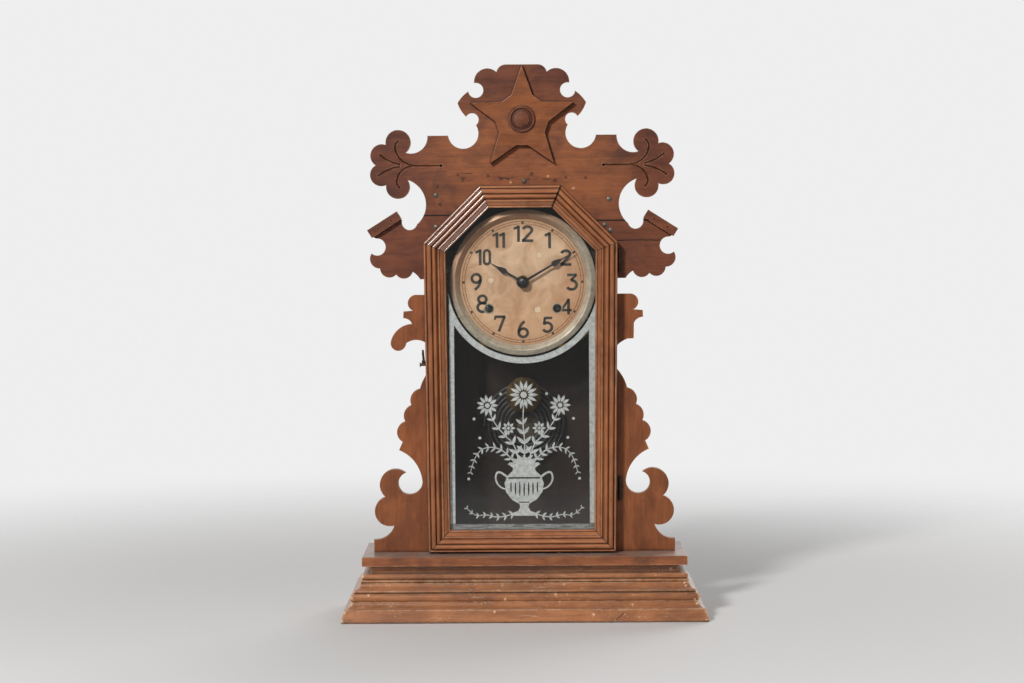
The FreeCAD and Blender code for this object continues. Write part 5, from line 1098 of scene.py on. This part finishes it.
def urn_face():
    """The urn with two dark bands and a row of dark flutes left open."""
    holes = []
    for low, high, half in URN_BANDS:
        holes.append([(-half, low), (half, low), (half, high), (-half, high)])
    for i in range(-3, 4):
        foot = FLUTE_FOOT + FLUTE_RISE * i * i
        middle = (i * FLUTE_STEP, (foot + FLUTE_TOP) / 2)
        holes.append(arc(middle, (FLUTE_HALF, (FLUTE_TOP - foot) / 2), 0, 350, 16))
    return filled([URN + flipped(URN[-2:0:-1], -1)] + holes)


def smooth(points):
    """Points along the smooth curve that a stem's points guide."""
    source = path_source("stem", points)
    bpy.context.scene.collection.objects.link(source)
    mesh = baked(source)
    line = [(v.co.x / MM, v.co.y / MM) for v in mesh.vertices]
    bpy.data.meshes.remove(mesh)
    return line


BUTTON_SHARE = 0.72


def blossom(x, z, petals, inner, length, width):
    """A blossom: a ring of petals round a button with a dark gap."""
    flower = grown(BLOSSOM, {
        "Petals": petals, "Inner Radius": inner * MM, "Petal Length": length * MM, "Petal Width": width * MM,
        "Material": FINISHES["silver"]}, empty_source("petals"))
    flower.transform(Matrix.Translation((x * MM, z * MM, 0)))
    return joined([flower, filled([circle((x, z), inner * BUTTON_SHARE, 24)])])


def spray(points, pairs, length, width, splay, tip):
    """Leaves along a stem."""
    return grown(LEAF_SPRAY, {
        "Pairs": pairs, "Leaf Length": length * MM, "Leaf Width": width * MM, "Splay": splay, "Tip Size": tip,
        "Material": FINISHES["silver"]}, path_source("spray", points))


def stencil_bouquet():
    """An urn of blossoms and leaf sprays, the same on both sides of the middle."""
    sheets = [urn_face(), strokes([(smooth(CENTRE_STEM), CENTRE_WIDTHS)])]
    sheets.append(spray(CENTRE_STEM[:3], *CENTRE_LEAVES))
    sheets.append(blossom(*TOP_BLOSSOM))
    for side in (1, -1):
        for stem, widths, _ in STEMS:
            sheets.append(strokes([(smooth(flipped(stem, side)), widths)]))
        for stem, _, leaves in STEMS:
            if leaves:
                sheets.append(spray(flipped(stem, side), *leaves))
        for x, *rest in SIDE_BLOSSOMS:
            sheets.append(blossom(side * x, *rest))
        for x, z in BERRIES:
            sheets.append(filled([circle((side * x, z), BERRY_RADIUS, 16)]))
    for i, sheet in enumerate(sheets):
        sheet.transform(Matrix.Translation((0, 0, -(i % LAYERS) * LAYER_STEP)))
    return joined(sheets)


def make_stencil():
    """The border and the bouquet, painted on the back of the glass."""
    for name, drawing in (("stencil_border", stencil_border()), ("stencil_bouquet", stencil_bouquet())):
        level = GLASS_BACK_Y + STENCIL_THICKNESS / 2 + STENCIL_GAP
        sheet = hung(thickened(drawing, STENCIL_THICKNESS), level)
        piece = as_piece(name, sheet, "silver")
        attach(piece, "door")


# Pins: the heads' radius and height, and the places of their rows, all in millimetres

SIDE_HEAD = (1.5, 0.45)
SIDE_SPACING = 15
SIDE_ROW_INSETS = (12, 8)
SHELF_ROW_RISE, TOP_ROW_DROP = 9, 5
STRIP_HEAD = (0.8, 0.25)
STRIP_INSET = 2.2
UPRIGHT_ROW_SPAN, UPRIGHT_SPACING = (280, 370), 30
FOOT_ROW_HALF, FOOT_SPACING = 60, 40


def pin_row(start, end, spacing, head, facing):
    """Pin heads from start to end, in millimetres, that stand out along facing."""
    line = Vector(end) - Vector(start)
    radius, height = head
    row = grown(PIN_ROW, {
        "Spacing": spacing * MM, "Head Radius": radius * MM, "Head Height": height * MM,
        "Material": FINISHES["iron"]}, path_source("row", [(0, 0), (line.length, 0)]))
    along = line.normalized()
    out = Vector(facing)
    side = out.cross(along)
    turn = Matrix((along, side, out)).transposed().to_4x4()
    row.transform(Matrix.Translation(Vector(start) * MM) @ turn)
    return row


def set_pins(rows, name, body):
    """One piece of several rows, on the body that carries it."""
    piece = as_piece(name, joined(rows), "iron")
    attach(piece, body)


def make_pins():
    """Pins through the case's sides into its top and its shelf, and pins in the strips behind the glass."""
    rows = []
    front, back = SIDE_ROW_INSETS
    for name, side in (("case_left_side", -1), ("case_right_side", 1)):
        low, high = (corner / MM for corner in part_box(name))
        x = low.x if side < 0 else high.x
        for z in (low.z + SHELF_ROW_RISE, high.z - TOP_ROW_DROP):
            ends = (x, low.y + front, z), (x, high.y - back, z)
            rows.append(pin_row(*ends, SIDE_SPACING, SIDE_HEAD, (side, 0, 0)))
    set_pins(rows, "side_pins", "case")
    low, high = (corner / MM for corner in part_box("glazing_strips"))
    y = high.y
    middle, reach = (low.x + high.x) / 2, (high.x - low.x) / 2 - STRIP_INSET
    rows = []
    for x in (middle - reach, middle + reach):
        ends = [(x, y, z) for z in UPRIGHT_ROW_SPAN]
        rows.append(pin_row(*ends, UPRIGHT_SPACING, STRIP_HEAD, (0, 1, 0)))
    ends = [(x, y, low.z + STRIP_INSET) for x in (middle - FOOT_ROW_HALF, middle + FOOT_ROW_HALF)]
    rows.append(pin_row(*ends, FOOT_SPACING, STRIP_HEAD, (0, 1, 0)))
    set_pins(rows, "strip_pins", "door")


# Stage, lamps and camera

FLOOR_HALF = 4.0
FLOOR_Z = -0.5 * MM
FLOOR_FADE = (1.5, 0.35)
SOFT_LIGHT = (0.98, 0.99, 1.0, 1)
BACKDROP = (0.86, 0.86, 0.865, 1)
CAMERA_PLACE = (0.005, -2.68, 0.4406)
CAMERA_LENS = 90.0
CAMERA_TIP, CAMERA_SWING, CAMERA_ROLL = 90 - 3.3, 0.36, -0.38
LAMP_AIM = Vector((0, 0, 0.3))
# Lamps, as name, place, width in metres and watts
LAMPS = [("key", (-1.15, -2.3, 1.75), 0.35, 66), ("fill", (1.9, -2.0, 0.9), 1.6, 6),
         ("rear", (1.3, 2.6, 1.7), 1.6, 30)]


def make_floor():
    """A pale floor that fades into the background, so that no edge shows."""
    material, tree, surface, place = new_finish("floor")
    fill(tree, surface, {"Base Color": colour(226, 224, 222), "Roughness": 0.7})
    clear = put(tree, "ShaderNodeBsdfTransparent")
    shown = eased(tree, vector_calc(tree, "LENGTH", place), *FLOOR_FADE)
    both = put(tree, "ShaderNodeMixShader", {0: shown, 1: clear.outputs[0], 2: surface.outputs[0]})
    tree.links.new(both.outputs[0], tree.nodes["Material Output"].inputs["Surface"])
    mesh = bpy.data.meshes.new("floor")
    corners = [(x * FLOOR_HALF, y * FLOOR_HALF, FLOOR_Z) for x, y in ((-1, -1), (1, -1), (1, 1), (-1, 1))]
    mesh.from_pydata(corners, [], [(0, 1, 2, 3)])
    mesh.materials.append(material)
    floor = bpy.data.objects.new("floor", mesh)
    bpy.context.scene.collection.objects.link(floor)


def make_world():
    """Even soft light all round, and a pale backdrop for what is seen straight, through glass or in metal."""
    world = bpy.data.worlds.new("studio")
    world.use_nodes = True
    tree = world.node_tree
    soft = tree.nodes["Background"]
    fill(tree, soft, {"Color": SOFT_LIGHT, "Strength": 0.2})
    pale = put(tree, "ShaderNodeBackground", {"Color": BACKDROP, "Strength": 1.0})
    rays = put(tree, "ShaderNodeLightPath").outputs
    heading = put(tree, "ShaderNodeTexCoord").outputs["Generated"]
    behind = eased(tree, parts_of(tree, heading)["Y"], -0.2, 0.5)
    mirrored = times(tree, rays["Is Glossy Ray"], behind)
    straight = calc(tree, "MAXIMUM", behind, calc(tree, "LESS_THAN", rays["Glossy Depth"], 0.5))
    through = times(tree, rays["Is Transmission Ray"], straight)
    seen = calc(tree, "ADD", calc(tree, "ADD", rays["Is Camera Ray"], through), mirrored, clamp=True)
    both = put(tree, "ShaderNodeMixShader", {0: seen, 1: soft.outputs[0], 2: pale.outputs[0]})
    tree.links.new(both.outputs[0], tree.nodes["World Output"].inputs["Surface"])
    bpy.context.scene.world = world


def make_lamp(name, place, size, energy):
    """A soft square lamp aimed at the clock."""
    data = bpy.data.lights.new(name, "AREA")
    data.shape = "SQUARE"
    data.size = size
    data.energy = energy
    thing = bpy.data.objects.new(name, data)
    thing.location = place
    thing.rotation_euler = (LAMP_AIM - Vector(place)).to_track_quat("-Z", "Y").to_euler()
    bpy.context.scene.collection.objects.link(thing)


def make_camera():
    """A camera at the photograph's place: far off, a little above the middle, tipped down."""
    data = bpy.data.cameras.new("camera")
    data.sensor_width = 36.0
    data.lens = CAMERA_LENS
    data.clip_end = 50.0
    camera = bpy.data.objects.new("camera", data)
    camera.location = CAMERA_PLACE
    tip, swing, roll = (math.radians(turn) for turn in (CAMERA_TIP, CAMERA_SWING, CAMERA_ROLL))
    turn = Matrix.Rotation(swing, 3, "Z") @ Matrix.Rotation(tip, 3, "X") @ Matrix.Rotation(roll, 3, "Z")
    camera.rotation_euler = turn.to_euler()
    bpy.context.scene.collection.objects.link(camera)
    bpy.context.scene.camera = camera


make_dial_paper()
make_stencil()
make_pins()
make_floor()
make_world()
for details in LAMPS:
    make_lamp(*details)
make_camera()
bpy.context.scene.view_settings.view_transform = "Standard"
